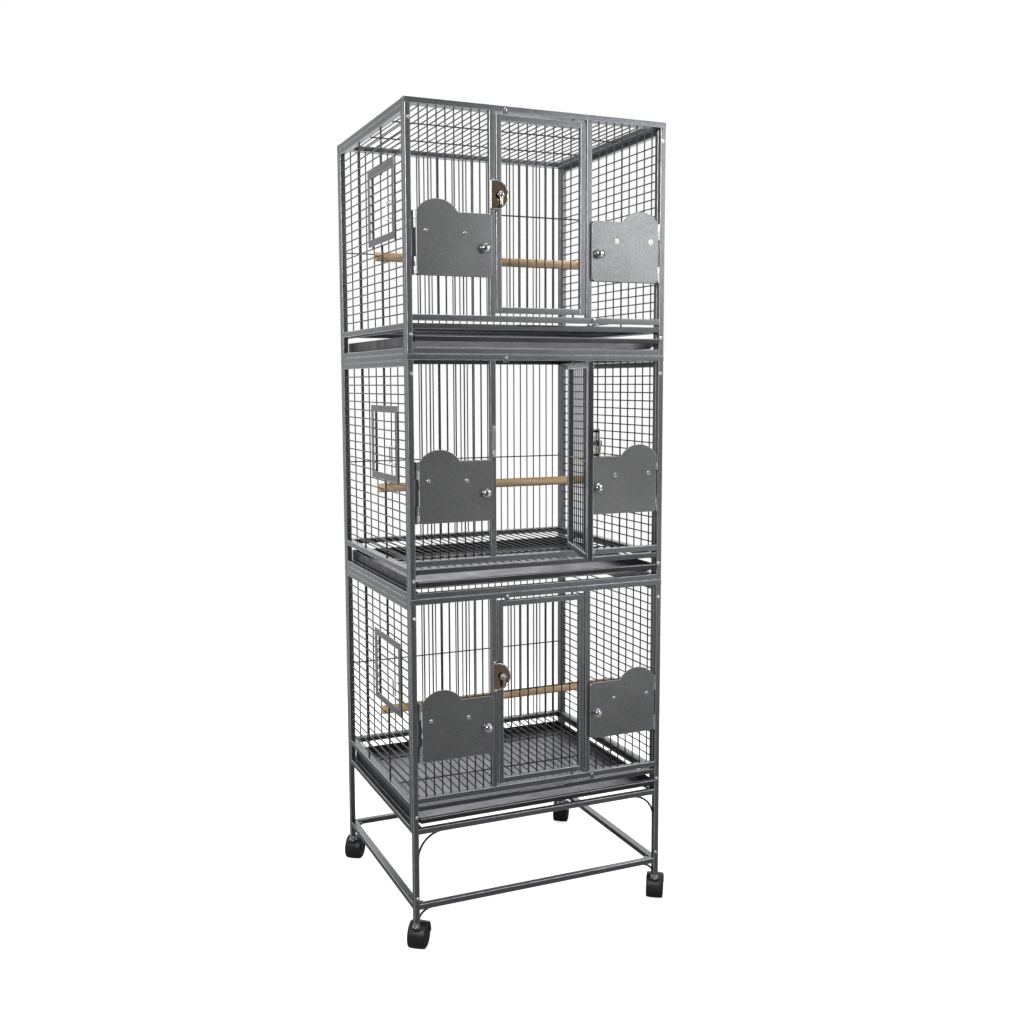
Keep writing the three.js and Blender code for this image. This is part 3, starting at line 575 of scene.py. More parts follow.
# The guard's brown tint is a painted reflection of something warm in the bright steel.
REFLECTION_TINTED_STEEL = bright_steel("guard_steel_painted_reflection", (0.28, 0.2, 0.14), 0.05, 0.14)
ZINC = bright_steel("zinc_steel", (0.78, 0.79, 0.81), 0.2, 0.42)
PINE = pine("pine_dowel")
PLASTIC = moulded("black_nylon", (0.012, 0.012, 0.014), 0.42, 0.4)
TREAD = moulded("wheel_tread", (0.017, 0.017, 0.019), 0.55, 0.6)
BLACK_WIRE = moulded("black_coated_wire", (0.01, 0.01, 0.011), 0.4, 0.2)
SHEET = coated_sheet("tray_sheet")
SLOTS = {
    "powder_coat": (PAINT, SHADED_GRATE_PAINT, BLACK_WIRE),
    "sheet_plate": (PLATE_PAINT,),
    "chrome_fittings": (CHROME, REFLECTION_TINTED_STEEL, ZINC),
    "perch_wood": (PINE,),
    "black_plastic": (PLASTIC, TREAD),
    "tray_sheet": (SHEET,),
}
SLOT_OF = {finish.name: slot for slot, finishes in SLOTS.items() for finish in finishes}


# ---- small fittings ----

def screw(shape, at, direction, radius=3.5, rise=2.2):
    """A domed head on a thin washer, with a drive socket sunk into it."""
    shape.lathe(((radius * 1.2, 0.0), (radius * 1.2, 0.5), (radius, 0.55), (radius, 0.9),
                 (radius * 0.88, rise * 0.7), (radius * 0.66, rise * 0.95), (radius * 0.5, rise),
                 (radius * 0.4, rise * 0.35)), at, direction, sides=20)


def hex_nut(shape, at, direction, radius, height):
    shape.lathe(((radius * 0.9, 0.0), (radius, height * 0.16), (radius, height * 0.84),
                 (radius * 0.9, height)), at, direction, sides=6)


# ---- panels ----

def wires_down(shape, xs, y, low, high):
    for x in xs:
        shape.wire((x, y, low - BITE), (x, y, high + BITE))


def front_frame(top, foot, tier):
    shape = Shape()
    hinge = pivot(f"right_feeder_door_{tier}_swing")
    door = pivot(f"main_door_{tier}_swing")
    y = (FRONT, FRONT + TUBE)
    middle = FRONT + TUBE / 2
    shape.block((-HALF, HALF), y, (top - TUBE, top), X)
    shape.block((-INNER, INNER), y, (top - PANEL_RAIL - TUBE, top - PANEL_RAIL), X)
    shape.block((-INNER, INNER), y, (top - TIER + GAP, top - LOWEST_RAIL), X)
    for side in (-1, 1):
        shape.block(ends(side, INNER, HALF), y, (foot, top - TUBE), Z)
        shape.block(ends(side, MULLION, MULLION + TUBE), y, (top - PANEL_RAIL, top - TUBE), Z)
        opening = (side * (MULLION + TUBE - BITE), side * (INNER + BITE))
        for z in (top - OPENING_TOP + ROD / 2, top - OPENING_BOTTOM - ROD / 2):
            shape.sweep([(x, middle, z) for x in opening], ROD / 2)
        xs = [side * x for x in spaced(MULLION + TUBE, INNER)]
        wires_down(shape, xs, middle, top - OPENING_TOP + ROD, top - TUBE)
        wires_down(shape, xs, middle, top - PANEL_RAIL, top - OPENING_BOTTOM - ROD)
        strip = ends(side, INNER - 10.0, INNER + 1.0)
        shape.block(strip, (FRONT + 3, FRONT + 6), (top - PLATE_BOTTOM, top - PLATE_TOP), Z, corner=0.5)
        for down in HINGES:
            leaf = (top - down - HINGE_LENGTH, top - down - HINGE_LENGTH / 2 - GAP)
            across = ends(side, hinge.x, INNER + 4)
            shape.block(across, (FRONT - 1.0, FRONT + 0.2), leaf, Z, corner=0.4)
    for z, rise in ((top - TUBE, -1), (top - PANEL_RAIL, 1)):
        gap = DOOR_TOP - TUBE
        foot_of_pin = (door.x, door.y, z)
        pin = ((PIN_RADIUS, -1.0), (PIN_RADIUS, gap + 1.0))
        shape.lathe(pin, foot_of_pin, (0, 0, rise), sides=14)
        shape.lathe(((COLLAR_RADIUS, 0.0), (COLLAR_RADIUS, 1.0)), foot_of_pin, (0, 0, rise), sides=18)
    return shape


def front_fittings(top, tier):
    """Post screws and the fixed halves of the feeder hinges."""
    shape = Shape()
    hinge = pivot(f"right_feeder_door_{tier}_swing")
    for side in (-1, 1):
        for down in POST_SCREWS:
            screw(shape, (side * (HALF - POST_SCREW_INSET), FRONT, top - down), OUT)
        for down in HINGES:
            low = top - down - HINGE_LENGTH
            middle = top - down - HINGE_LENGTH / 2 - GAP
            at = (side * hinge.x, hinge.y)
            shape.lathe(((HINGE_RADIUS * 0.8, 0), (HINGE_RADIUS, 0.5), (HINGE_RADIUS, middle - low - 0.4),
                         (HINGE_RADIUS * 0.85, middle - low)), (*at, low), UP, sides=14)
    return shape


def keeper(top):
    """A bridge strip held to the mullion by a screw through each foot."""
    shape = Shape()
    x = -MULLION - TUBE / 2
    z = top - LATCH_DOWN
    half, foot, span = KEEPER_HALF, KEEPER_HALF - 10, KEEPER_HALF - 13
    low, high = FRONT - 1, FRONT - KEEPER_OUT
    path = bent(((x, low, z + half), (x, low, z + foot), (x, high, z + span),
                 (x, high, z - span), (x, low, z - foot), (x, low, z - half)), 2.0)
    rings = []
    for i, point in enumerate(path):
        travel = (path[min(i + 1, len(path) - 1)] - path[max(i - 1, 0)]).normalized()
        out = travel.cross(Vector((1, 0, 0)))
        ring = []
        for u, v in ((4.6, 0.8), (-4.6, 0.8), (-4.6, -0.8), (4.6, -0.8)):
            ring.append(point + Vector((u, 0, 0)) + out * v)
        rings.append(ring[::-1])
    shape.shell(rings)
    for end in (-1, 1):
        screw(shape, (x, FRONT - 1.6, z + end * (half - 5)), OUT, radius=3.1, rise=2.0)
    return shape


def rear_panel(top, foot):
    shape = Shape()
    y = (BACK - TUBE, BACK)
    middle = BACK - TUBE / 2
    shape.block((-HALF, HALF), y, (top - TUBE, top), X)
    shape.block((-INNER, INNER), y, (top - BACK_RAIL - TUBE, top - BACK_RAIL), X)
    shape.block((-INNER, INNER), y, (top - TIER + GAP, top - LOWEST_RAIL), X)
    for side in (-1, 1):
        shape.block(ends(side, INNER, HALF), y, (foot, top - TUBE), Z)
    wires_down(shape, spaced(-INNER, INNER), middle, top - BACK_RAIL, top - TUBE)
    level = (middle + WIRE, top - LEVEL_WIRE)
    shape.wire((-INNER - BITE, *level), (INNER + BITE, *level))
    return shape


def rear_fittings(top):
    shape = Shape()
    for side in (-1, 1):
        for down in POST_SCREWS:
            screw(shape, (side * (HALF - POST_SCREW_INSET), BACK, top - down), (0, 1, 0))
    return shape


def side_panel(top, side):
    shape = Shape()
    low = FRONT + TUBE + GAP
    high = BACK - TUBE - GAP
    x = ends(side, INNER, HALF)
    for down in (0.0, SIDE_RAIL, BACK_RAIL):
        shape.block(x, (low + TUBE, high - TUBE), (top - down - TUBE, top - down), Y)
    shape.block(x, (low + TUBE, high - TUBE), (top - TIER + GAP, top - LOWEST_RAIL), Y)
    for y in ((low, low + TUBE), (high - TUBE, high)):
        shape.block(x, y, (top - TIER + GAP, top), Z)
    ledge = ends(side, INNER + 1, INNER - 9)
    for down in (GRATE_TOP + GRATE_THICK, TRAY_TOP + TRAY_HEIGHT):
        shape.block(ledge, (low, high), (top - down - 3, top - down - 1), Y, corner=0.6)
    wire_x = side * (HALF - SIDE_PLANE)
    rod_x = side * (HALF - SIDE_PLANE - (WIRE + ROD) / 2)
    inside = (low + TUBE - BITE, high - TUBE + BITE)
    has_door = side < 0
    for down in SIDE_LEVELS:
        z = top - down
        spans = (inside,)
        if has_door and NEST_TOP + NEST_BAR < down < NEST_BOTTOM - NEST_BAR:
            spans = ((inside[0], NEST_FRONT + NEST_BAR), (NEST_BACK - NEST_BAR, inside[1]))
        for start, end in spans:
            shape.wire((wire_x, start, z), (wire_x, end, z))
    rod_low = top - BACK_RAIL - BITE
    rod_high = top - SIDE_RAIL - TUBE + BITE
    if has_door:
        cut = [down for down in SIDE_LEVELS if NEST_TOP + NEST_BAR < down < NEST_BOTTOM - NEST_BAR]
        above = top - cut[0] + SIDE_LEVELS[1] - SIDE_LEVELS[0]
        below = top - cut[-1] - SIDE_LEVELS[1] + SIDE_LEVELS[0]
        for y in (NEST_FRONT + NEST_BAR - 1, NEST_BACK - NEST_BAR + 1):
            shape.wire((wire_x, y, below - 1), (wire_x, y, above + 1))
        rods = ((SIDE_RODS[0], above - 2, rod_high), (SIDE_RODS[0], rod_low, below + 2))
    else:
        rods = ((SIDE_RODS[0], rod_low, rod_high),)
    for y, start, end in (*rods, (SIDE_RODS[1], rod_low, rod_high)):
        shape.wire((rod_x, y, start), (rod_x, y, end), ROD)
    return shape


def roof_panel(top):
    shape = Shape()
    x = (-INNER + GAP, INNER - GAP)
    y = (FRONT + TUBE + GAP, BACK - TUBE - GAP)
    z = (top - TUBE, top)
    shape.block(x, (y[0], y[0] + TUBE), z, X)
    shape.block(x, (y[1] - TUBE, y[1]), z, X)
    for edge in ((x[0], x[0] + TUBE), (x[1] - TUBE, x[1])):
        shape.block(edge, (y[0] + TUBE, y[1] - TUBE), z, Y)
    middle = top - TUBE / 2
    for at in spaced(x[0] + TUBE, x[1] - TUBE):
        shape.wire((at, y[0] + TUBE - BITE, middle), (at, y[1] - TUBE + BITE, middle))
    for at in SIDE_RODS:
        level = middle - WIRE
        shape.wire((x[0] + TUBE - BITE, at, level), (x[1] - TUBE + BITE, at, level))
    return shape


# ---- doors ----

def main_door():
    """Drawn about its pivot line, at x 0 and y 0, with the tier's top at z 0."""
    shape = Shape()
    right = PIVOT_INSET
    left = PIVOT_INSET - DOOR_WIDTH
    y = around(0, TUBE)
    low, high = -DOOR_BOTTOM, -DOOR_TOP
    for x in ((left, left + TUBE), (right - TUBE, right)):
        shape.block(x, y, (low, high), Z)
    for z in ((low, low + TUBE), (high - TUBE, high)):
        shape.block((left + TUBE, right - TUBE), y, z, X)
    step = (DOOR_WIDTH - 2 * TUBE) / (DOOR_WIRES + 1)
    xs = [left + TUBE + step * (i + 1) for i in range(DOOR_WIRES)]
    wires_down(shape, xs, 0.0, low + TUBE, high - TUBE)
    level = (WIRE, -DOOR_LEVEL)
    shape.wire((left + TUBE - BITE, *level), (right - TUBE + BITE, *level))
    return shape


def latch_guard():
    """Half-round dished plate with a rolled rim, on two feet, about the latch spindle."""
    shape = Shape()
    chord = math.degrees(math.acos((GUARD_CUT - GUARD_OFFSET) / GUARD_RADIUS))
    outline = arc((-GUARD_OFFSET, 0), GUARD_RADIUS, chord - 180, 180 - chord, 36)
    back = -TUBE / 2 - GUARD_STANDOFF

    def place(u, v, depth):
        return (u, back - depth, v)

    shape.prism(outline, place, 0.0, 1.6, 0.4)
    for end in (-1, 1):
        shape.block((-4.5, 4.5), (back, -TUBE / 2), around(end * 24, 5), Y, corner=0.6)
    edge = Shape()
    rim = inset(outline, 1.6)
    rings = []
    for i, (u, v) in enumerate(rim):
        before, after = Vector(rim[i - 1]), Vector(rim[(i + 1) % len(rim)])
        travel = (after - before).normalized()
        ring = []
        for side in range(8):
            angle = 2 * math.pi * side / 8
            out = 1.6 * math.cos(angle)
            ring.append((u - travel.y * out, back - 1.6 - 1.5 * math.sin(angle), v + travel.x * out))
        rings.append(ring)
    edge.shell(rings, loop=True)
    return shape, edge


def latch_lever():
    """Boss, thumb lever and tongue, about the spindle at x 0 and z 0."""
    shape = Shape()
    face = -TUBE / 2
    front = face - 6 - 3 - GAP - 1.2
    shape.lathe(((4.0, 0.0), (4.0, face - front + 1)), (0, face, 0), OUT, sides=16)
    shape.lathe(((8.0, 0.0), (8.0, 3.0), (7.4, 4.4), (5.6, 5.4), (5.2, 6.8), (4.2, 8.0), (2.0, 8.3)),
                (0, front, 0), OUT, sides=28)
    outline = ((-3.6, 0), (-2.9, -22), (-1.6, -25), (1.6, -25), (2.9, -22), (3.6, 0))

    def place(u, v, depth):
        return (u, front - depth, v)

    shape.prism(outline, place, 1.0, 6.0, 1.1)
    shape.block((-19, 0), (face - 5.7, face - 3.2), (-6, 6), X, corner=0.5)
    return shape


def plate_outline():
    """The right-hand feeder door: a rounded plate with a hump at its outer end."""
    half = HUMP_WIDTH / 2
    radius = (half * half + HUMP_RISE * HUMP_RISE) / (2 * HUMP_RISE)
    centre = (PLATE_OUTER - half, -PLATE_TOP + HUMP_RISE - radius)
    reach = math.degrees(math.asin(half / radius))
    low = -PLATE_BOTTOM + PLATE_CORNER
    points = arc((PLATE_INNER + PLATE_CORNER, low), PLATE_CORNER, 180, 270, 8)
    points += arc((PLATE_OUTER - PLATE_CORNER, low), PLATE_CORNER, 270, 360, 8)
    points += arc(centre, radius, 90 - reach, 90 + reach, 36)
    start = PLATE_OUTER - HUMP_WIDTH
    points += [(start - HUMP_FILLET * share, -PLATE_TOP - HUMP_DIP * math.sin(math.pi * share))
               for share in (0.5, 1.0)]
    points += arc((PLATE_INNER + PLATE_CORNER, -PLATE_TOP - PLATE_CORNER), PLATE_CORNER, 90, 180, 8)
    return points


def feeder_plate(top):
    shape = Shape()

    def place(u, v, depth):
        return (u, PLATE_FRONT + PLATE - depth, top + v)

    shape.prism(plate_outline(), place, 0.0, PLATE, 0.45)
    return shape


def feeder_fittings(top, tier):
    """Screw heads and the moving halves of the hinges, on the right-hand door."""
    shape = Shape()
    hinge = pivot(f"right_feeder_door_{tier}_swing")
    for into, down in PLATE_SCREWS:
        screw(shape, (PLATE_OUTER - into, PLATE_FRONT, top - PLATE_TOP - down), OUT, radius=4.2)
    for down in HINGES:
        low = top - down - HINGE_LENGTH / 2 + GAP
        high = top - down
        shape.lathe(((HINGE_RADIUS * 0.85, 0), (HINGE_RADIUS, 0.4), (HINGE_RADIUS, high - low - 0.5),
                     (HINGE_RADIUS * 0.8, high - low)), (hinge.x, hinge.y, low), UP, sides=14)
        shape.block((PLATE_OUTER - 6, hinge.x), (PLATE_FRONT + PLATE - 0.2, PLATE_FRONT + PLATE + 1.0),
                    (low, high), Z, corner=0.3)
    return shape


def feeder_knob(top):
    shape = Shape()
    x = PLATE_INNER + KNOB_INSET
    z = top - PLATE_TOP - KNOB_DROP
    front = PLATE_FRONT - GAP
    shape.lathe(((10.0, 0.0), (10.4, 0.8), (10.0, 1.8), (6.2, 2.6), (5.6, 4.2), (6.6, 5.8), (8.6, 6.8),
                 (9.8, 8.4), (9.9, 10.2), (9.0, 11.8), (6.8, 13.0), (3.4, 13.6), (1.2, 13.7)),
                (x, front, z), OUT, sides=32)
    back = FRONT + TUBE + 1
    shape.lathe(((2.0, 0.0), (2.0, back - front + 2)), (x, front - 1, z), (0, 1, 0), sides=14)
    shape.block(around(x, 8), (back, back + 2), (z - 4, z + 21), Z, corner=0.6)
    return shape


def nest_door(top):
    shape = Shape()
    x = (-HALF - NEST_PLATE - GAP, -HALF - GAP)
    y = (NEST_FRONT, NEST_BACK)
    z = (top - NEST_BOTTOM, top - NEST_TOP)
    for span in ((z[0], z[0] + NEST_BAR), (z[1] - NEST_BAR, z[1])):
        shape.block(x, (y[0] + NEST_BAR, y[1] - NEST_BAR), span, Y, corner=0.5)
    for span in ((y[0], y[0] + NEST_BAR), (y[1] - NEST_BAR, y[1])):
        shape.block(x, span, z, Z, corner=0.5)
    wire_x = x[1] - WIRE / 2
    for level in spaced(z[0] + NEST_BAR, z[1] - NEST_BAR):
        shape.wire((wire_x, y[0] + NEST_BAR - BITE, level), (wire_x, y[1] - NEST_BAR + BITE, level))
    return shape


def nest_pull(top):
    """A rectangular wire pull that turns over the door's front stile."""
    shape = Shape()
    face = -HALF - NEST_PLATE - GAP
    out = face - 4.5
    y = (NEST_FRONT + 5.5, NEST_FRONT + 38.5)
    for down in (PULL_TOP, PULL_BOTTOM):
        z = top - down
        path = bent(((face + 1, y[0], z), (out, y[0], z), (out, y[1], z)), 3.0)
        shape.sweep(path, WIRE / 2, normal=UP)
    shape.wire((out, y[1], top - PULL_BOTTOM - 1), (out, y[1], top - PULL_TOP + 1))
    return shape


# ---- floor, perch and tabs ----

def floor_grate(top):
    shape = Shape()
    x = (-INNER + 1, INNER - 1)
    y = (FRONT + 1, BACK - TUBE - 2)
    z = (top - GRATE_TOP - GRATE_THICK, top - GRATE_TOP)
    shape.block(x, (y[0], y[0] + TUBE), z, X, corner=1.3)
    shape.block(x, (y[1] - ROD, y[1]), z, X, corner=1.0)
    for edge in ((x[0], x[0] + ROD), (x[1] - ROD, x[1])):
        shape.block(edge, (y[0] + TUBE, y[1] - ROD), z, Y, corner=1.0)
    level = z[1] - 1 - WIRE / 2
    for at in spaced(x[0] + ROD, x[1] - ROD):
        shape.wire((at, y[0] + TUBE - BITE, level), (at, y[1] - ROD + BITE, level), sides=8)
    for share in (1 / 3, 2 / 3):
        at = y[0] + share * (y[1] - y[0])
        shape.wire((x[0] + ROD - BITE, at, level - WIRE), (x[1] - ROD + BITE, at, level - WIRE))
    shape.block((-57, 52), (y[0] - 6, y[0] + 1), (z[1] - 2, z[1]), X, corner=0.8)
    return shape


def tray(top):
    """A folded sheet whose front wall leans back, with a finger lip along its front."""
    shape = Shape()
    skin = 1.2
    x = (-INNER + 3, INNER - 3)
    y = (FRONT + 3, BACK - TUBE - 4)
    z = (top - TRAY_TOP - TRAY_HEIGHT, top - TRAY_TOP)
    lip = z[1] - LIP_HEIGHT
    shape.block(x, (y[0] + TRAY_SLOPE - 1, y[1]), (z[0], z[0] + skin), X, corner=0.4)
    shape.block(x, (y[1] - skin, y[1]), (z[0] + skin, z[1]), X, corner=0.4)
    shape.block(x, (y[0], y[0] + skin), (lip, z[1]), X, corner=0.4)
    wall = [(y[0], lip + 0.4), (y[0] + 0.5, lip), (y[0] + TRAY_SLOPE, z[0]), (y[0] + TRAY_SLOPE, z[0] + skin),
            (y[0] + 0.6, lip + skin)]

    def across(u, v, depth):
        return (depth, u, v)

    shape.prism(wall, across, *x, 0.1)
    cheek = [(y[0], lip), (y[0] + TRAY_SLOPE, z[0]), (y[1], z[0]), (y[1], z[1]), (y[0], z[1])]
    for edge in ((x[0], x[0] + skin), (x[1] - skin, x[1])):
        shape.prism(cheek, across, *edge, 0.1)
    shape.block(x, (y[0] - LIP_REACH, y[0] + 1), (lip, lip + skin), X, corner=0.4)
    shape.block(x, (y[0] - LIP_REACH, y[0] - LIP_REACH + skin), (lip, z[1] - 1), X, corner=0.4)
    roll = (y[0] - LIP_REACH + 1.3, z[1] - 1.3)
    # The lip roll is marked in full, so it shows a painted highlight line along the lip's top.
    shape.sweep(((x[0], *roll), (x[1], *roll)), 1.3, sides=12, wear_and_painted_light=1.0)
    return shape


def perch(top):
    shape = Shape()
    z = top - PERCH_DOWN
    wire_face = HALF - SIDE_PLANE - WIRE / 2 - GAP
    profile = [(PERCH_RADIUS * (1 + 0.012 * math.sin(i * 1.7)), 2 * wire_face * i / 24) for i in range(25)]
    shape.lathe(profile, (-wire_face, PERCH_Y, z), (1, 0, 0), sides=32)
    half_notch = WIRE / 2 + GAP
    start = math.degrees(math.asin(half_notch / PERCH_RADIUS))
    for up in (1, -1):
        outline = arc((0, 0), PERCH_RADIUS * 0.98, start, 180 - start, 14)

        def place(u, v, depth, up=up):
            return (depth, PERCH_Y + u * up, z + v * up)

        for side in (-1, 1):
            shape.prism(outline, place, *ends(side, wire_face - 0.5, HALF - 1), 0.7)
    return shape


def tab(at, width, drop):
    shape = Shape()
    shape.block(around(at[0], width), (at[1] - 1.5, at[1]), (at[2] - drop, at[2] + 5), Z, corner=0.5)
    return shape


def tab_bolt(at):
    shape = Shape()
    screw(shape, (at[0], at[1] - 1.5, at[2]), OUT, radius=3.4, rise=2.6)
    return shape


# ---- stand and casters ----

def stretcher_frame():
    shape = Shape()
    z = (STRETCHER_TOP - TUBE, STRETCHER_TOP)
    inner = INNER - GAP
    shape.block((-inner, inner), (FRONT, FRONT + TUBE), z, X)
    shape.block((-inner, inner), (BACK - TUBE, BACK), z, X)
    for side in (-1, 1):
        x = ends(side, INNER - 4, HALF)
        shape.block(x, (FRONT + TUBE + GAP, BACK - TUBE - GAP), z, Y)
        gusset_x = ends(side, INNER - 14, INNER + 2)
        gusset_z = (z[0] + 3, z[1] - 3)
        shape.block(gusset_x, (FRONT + 4, FRONT + TUBE + 12), gusset_z, Z, corner=1.0)
        shape.block(gusset_x, (BACK - TUBE - 12, BACK - 4), gusset_z, Z, corner=1.0)
    return shape


def braces(bottom):
    """Thin curved bars in the front corners, under the lowest rail and the front stretcher."""
    shape = Shape()
    y = FRONT + TUBE / 2
    for side in (-1, 1):
        for z, reach, drop in ((bottom, BRACE_RADIUS, BRACE_RADIUS), (STRETCHER_TOP - TUBE, *SMALL_BRACE)):
            path = []
            for i in range(13):
                angle = math.pi / 2 * i / 12
                x = side * (INNER + 0.5 - reach * (1 - math.cos(angle)))
                path.append((x, y, z + 0.5 - drop * (1 - math.sin(angle))))
            shape.sweep(path, 2.3, sides=12, normal=(0, 1, 0))
    return shape


def leg_bolts():
    shape = Shape()
    for side in (-1, 1):
        for y, facing in ((FRONT, -1), (BACK, 1)):
            screw(shape, (side * (HALF - POST_SCREW_INSET), y, LEG_BOLT_Z), (0, facing, 0))
    return shape


def trailing(stem, axle):
    """The turn from a caster's own x to the way its wheels trail."""
    return Matrix.Rotation(math.atan2(axle.y - stem.y, axle.x - stem.x), 4, "Z")


def caster_hood(stem, axle):
    """Cover over both wheels, its side walls and the centre web, in the caster's own frame."""
    shape = Shape()
    trail = (axle - stem).xy.length
    half = WHEEL_SPREAD + WHEEL_WIDTH / 2

    def place(u, v, depth):
        return (trail + u, -depth, WHEEL_RADIUS + v)

    rings = []
    for share in (-1.0, -0.97, -0.9, -0.75, -0.5, 0.0, 0.5, 0.75, 0.9, 0.97, 1.0):
        outer = WHEEL_RADIUS + 1.3 + 2.1 * math.sqrt(1 - share * share)
        cover = arc((0, 0), outer, -10, 236, 40) + arc((0, 0), WHEEL_RADIUS + 1, 236, -10, 40)
        rings.append([place(u, v, share * (half + 0.6)) for u, v in cover])
    shape.shell(rings)
    for side in (-1, 1):
        rib = []
        for i in range(9):
            angle = math.radians(158 + 6 * i)
            reach = WHEEL_RADIUS + 2.9 - 0.1 * i
            rib.append(place(reach * math.cos(angle), reach * math.sin(angle), side * (4 + 1.1 * i)))
        shape.sweep(rib, 1.3, sides=8)
    web = arc((0, 0), WHEEL_RADIUS + 2, -10, 170, 24) + [(-6, -9), (6, -9)]
    shape.prism(web, place, -2.5, 2.5, 0.3)
    shape.lathe(((9.0, 0), (10.5, 2), (10.5, 5.0), (9.6, 6.2)), (0, 0, 46.5), UP, sides=24)
    return shape.moved(Matrix.Translation((stem.x, stem.y, 0)) @ trailing(stem, axle))


def caster_nuts(stem):
    shape = Shape()
    base = (stem.x, stem.y)
    shape.lathe(((9.2, 0), (9.2, 1.2)), (*base, 52.3), UP)
    hex_nut(shape, (*base, 53.3), UP, 8.8, 4.6)
    shape.lathe(((5.0, 0), (5.0, 4.0)), (*base, 57.4), UP, sides=20)
    hex_nut(shape, (*base, 58.4), UP, 8.2, 4.3)
    return shape


def wheel_pair(stem, axle):
    shape = Shape()
    near = 3.1
    far = WHEEL_SPREAD + WHEEL_WIDTH / 2
    depth = far - near
    profile = ((23.5, 0.0), (26.2, 0.8), (WHEEL_RADIUS, 2.4), (WHEEL_RADIUS, depth - 3.0),
               (26.0, depth - 1.0), (23.0, depth), (21.5, depth), (20.6, depth - 1.8),
               (9.0, depth - 2.4), (8.0, depth - 0.6), (6.5, depth), (3.0, depth))
    for facing in (-1, 1):
        shape.lathe(profile, (0, facing * near, 0), (0, facing, 0), sides=48)
    shape.lathe(((3.0, 0), (3.0, 2 * near + 2)), (0, -near - 1, 0), (0, 1, 0), sides=16)
    return shape.moved(Matrix.Translation(axle) @ trailing(stem, axle))


# ---- assembly ----

def build_tier(tier):
    top = TOP - TIER * (tier - 1)
    foot = LEG_BOTTOM if tier == TIERS else top - TIER + GAP
    n = f"_{tier}"
    make("front_panel" + n, front_frame(top, foot, tier), PAINT, "cage", "front_frame" + n)
    make("front_fittings" + n, front_fittings(top, tier), ZINC, "cage")
    make("latch_keeper" + n, keeper(top), CHROME, "cage")
    make("back_panel" + n, rear_panel(top, foot), PAINT, "cage", "rear_panel" + n)
    make("back_fittings" + n, rear_fittings(top), ZINC, "cage")
    for side, word in ((-1, "left"), (1, "right")):
        make(f"{word}_side{n}", side_panel(top, side), PAINT, "cage", f"{word}_side_panel{n}")
    if tier == 1:
        make("roof", roof_panel(top), PAINT, "cage", "roof_panel")
    build_main_door(tier, top)
    for word in ("left", "right"):
        door = f"{word}_feeder_door{n}"
        knob = f"{word}_feeder_knob{n}"
        plate, fittings, turner = feeder_plate(top), feeder_fittings(top, tier), feeder_knob(top)
        if word == "left":
            plate, fittings, turner = plate.mirrored(), fittings.mirrored(), turner.mirrored()
        make(f"{word}_feeder_plate{n}", plate, PLATE_PAINT, door, door)
        make(f"{word}_feeder_fittings{n}", fittings, CHROME, door)
        make(f"{word}_thumb_knob{n}", turner, CHROME, knob, knob)
    make("nest_box_door" + n, nest_door(top), PAINT, "nest_door" + n, "nest_door" + n)
    make("nest_pull" + n, nest_pull(top), CHROME, "nest_door" + n)
    make("grate" + n, floor_grate(top), SHADED_GRATE_PAINT, "floor_grate" + n, "floor_grate" + n)
    make("waste_tray" + n, tray(top), SHEET, "tray" + n, "tray" + n)
    make("wood_perch" + n, perch(top), PINE, "cage", "perch" + n)
    for body, width, drop in (("door_stop", 12.0, 9.5), ("grate_clip", 9.0, 11.5)):
        at = pivot(f"{body}{n}_swivel")
        at.y = FRONT - GAP
        make(f"{body}_tab{n}", tab(at, width, drop), PAINT, body + n, body + n)
        make(f"{body}_bolt{n}", tab_bolt(at), CHROME, body + n)


def build_main_door(tier, top):
    n = f"_{tier}"
    swing = joints[f"main_door{n}_swing"]
    at = pivot(f"main_door{n}_swing")
    rest = math.radians(-swing["range_deg"][0])
    place = Matrix.Translation((at.x, at.y, top)) @ Matrix.Rotation(rest, 4, "Z")
    spindle = place @ Matrix.Translation((PIVOT_INSET - DOOR_WIDTH + TUBE / 2, 0, -LATCH_DOWN))
    make("door" + n, main_door().moved(place), PAINT, "main_door" + n, "main_door" + n)
    guard, rim = latch_guard()
    make("latch_guard" + n, guard.moved(spindle), REFLECTION_TINTED_STEEL, "main_door" + n)
    make("guard_rim" + n, rim.moved(spindle), CHROME, "main_door" + n)
    make("latch_lever" + n, latch_lever().moved(spindle), CHROME, "door_latch" + n, "door_latch" + n)


def build_stand():
    make("stretchers", stretcher_frame(), PAINT, "cage", "stretcher_frame")
    make("corner_braces", braces(TOP - TIERS * TIER + GAP), BLACK_WIRE, "cage")
    make("leg_bolts", leg_bolts(), CHROME, "cage")
    for corner in ("front_left", "front_right", "rear_left", "rear_right"):
        hood, wheels = f"caster_{corner}", f"wheels_{corner}"
        stem, axle = pivot(f"{hood}_swivel"), pivot(f"{wheels}_roll")
        make(f"hood_{corner}", caster_hood(stem, axle), PLASTIC, hood, hood)
        make(f"stem_nuts_{corner}", caster_nuts(stem), CHROME, hood)
        make(f"wheel_pair_{corner}", wheel_pair(stem, axle), TREAD, wheels, wheels)


for number in range(1, TIERS + 1):
    build_tier(number)
build_stand()


# ---- floor, light and camera ----

ROOM = 2.2  # strength of the backdrop as a light
FLOOR_GLOW = 0.78  # the disc's own light, so that only the contact shadows show

# The camera, fitted to the straight edges of the cage in the photograph
LENS = 39.14
SENSOR = 36.0
LENS_SHIFT = -0.0137
PITCH_DOWN, ROLL, PAN = -0.1030, 0.0033, -0.4118  # radians
STAND_POINT = (-1030.8, -2457.2, 1228.4)  # millimetres about the cage's middle


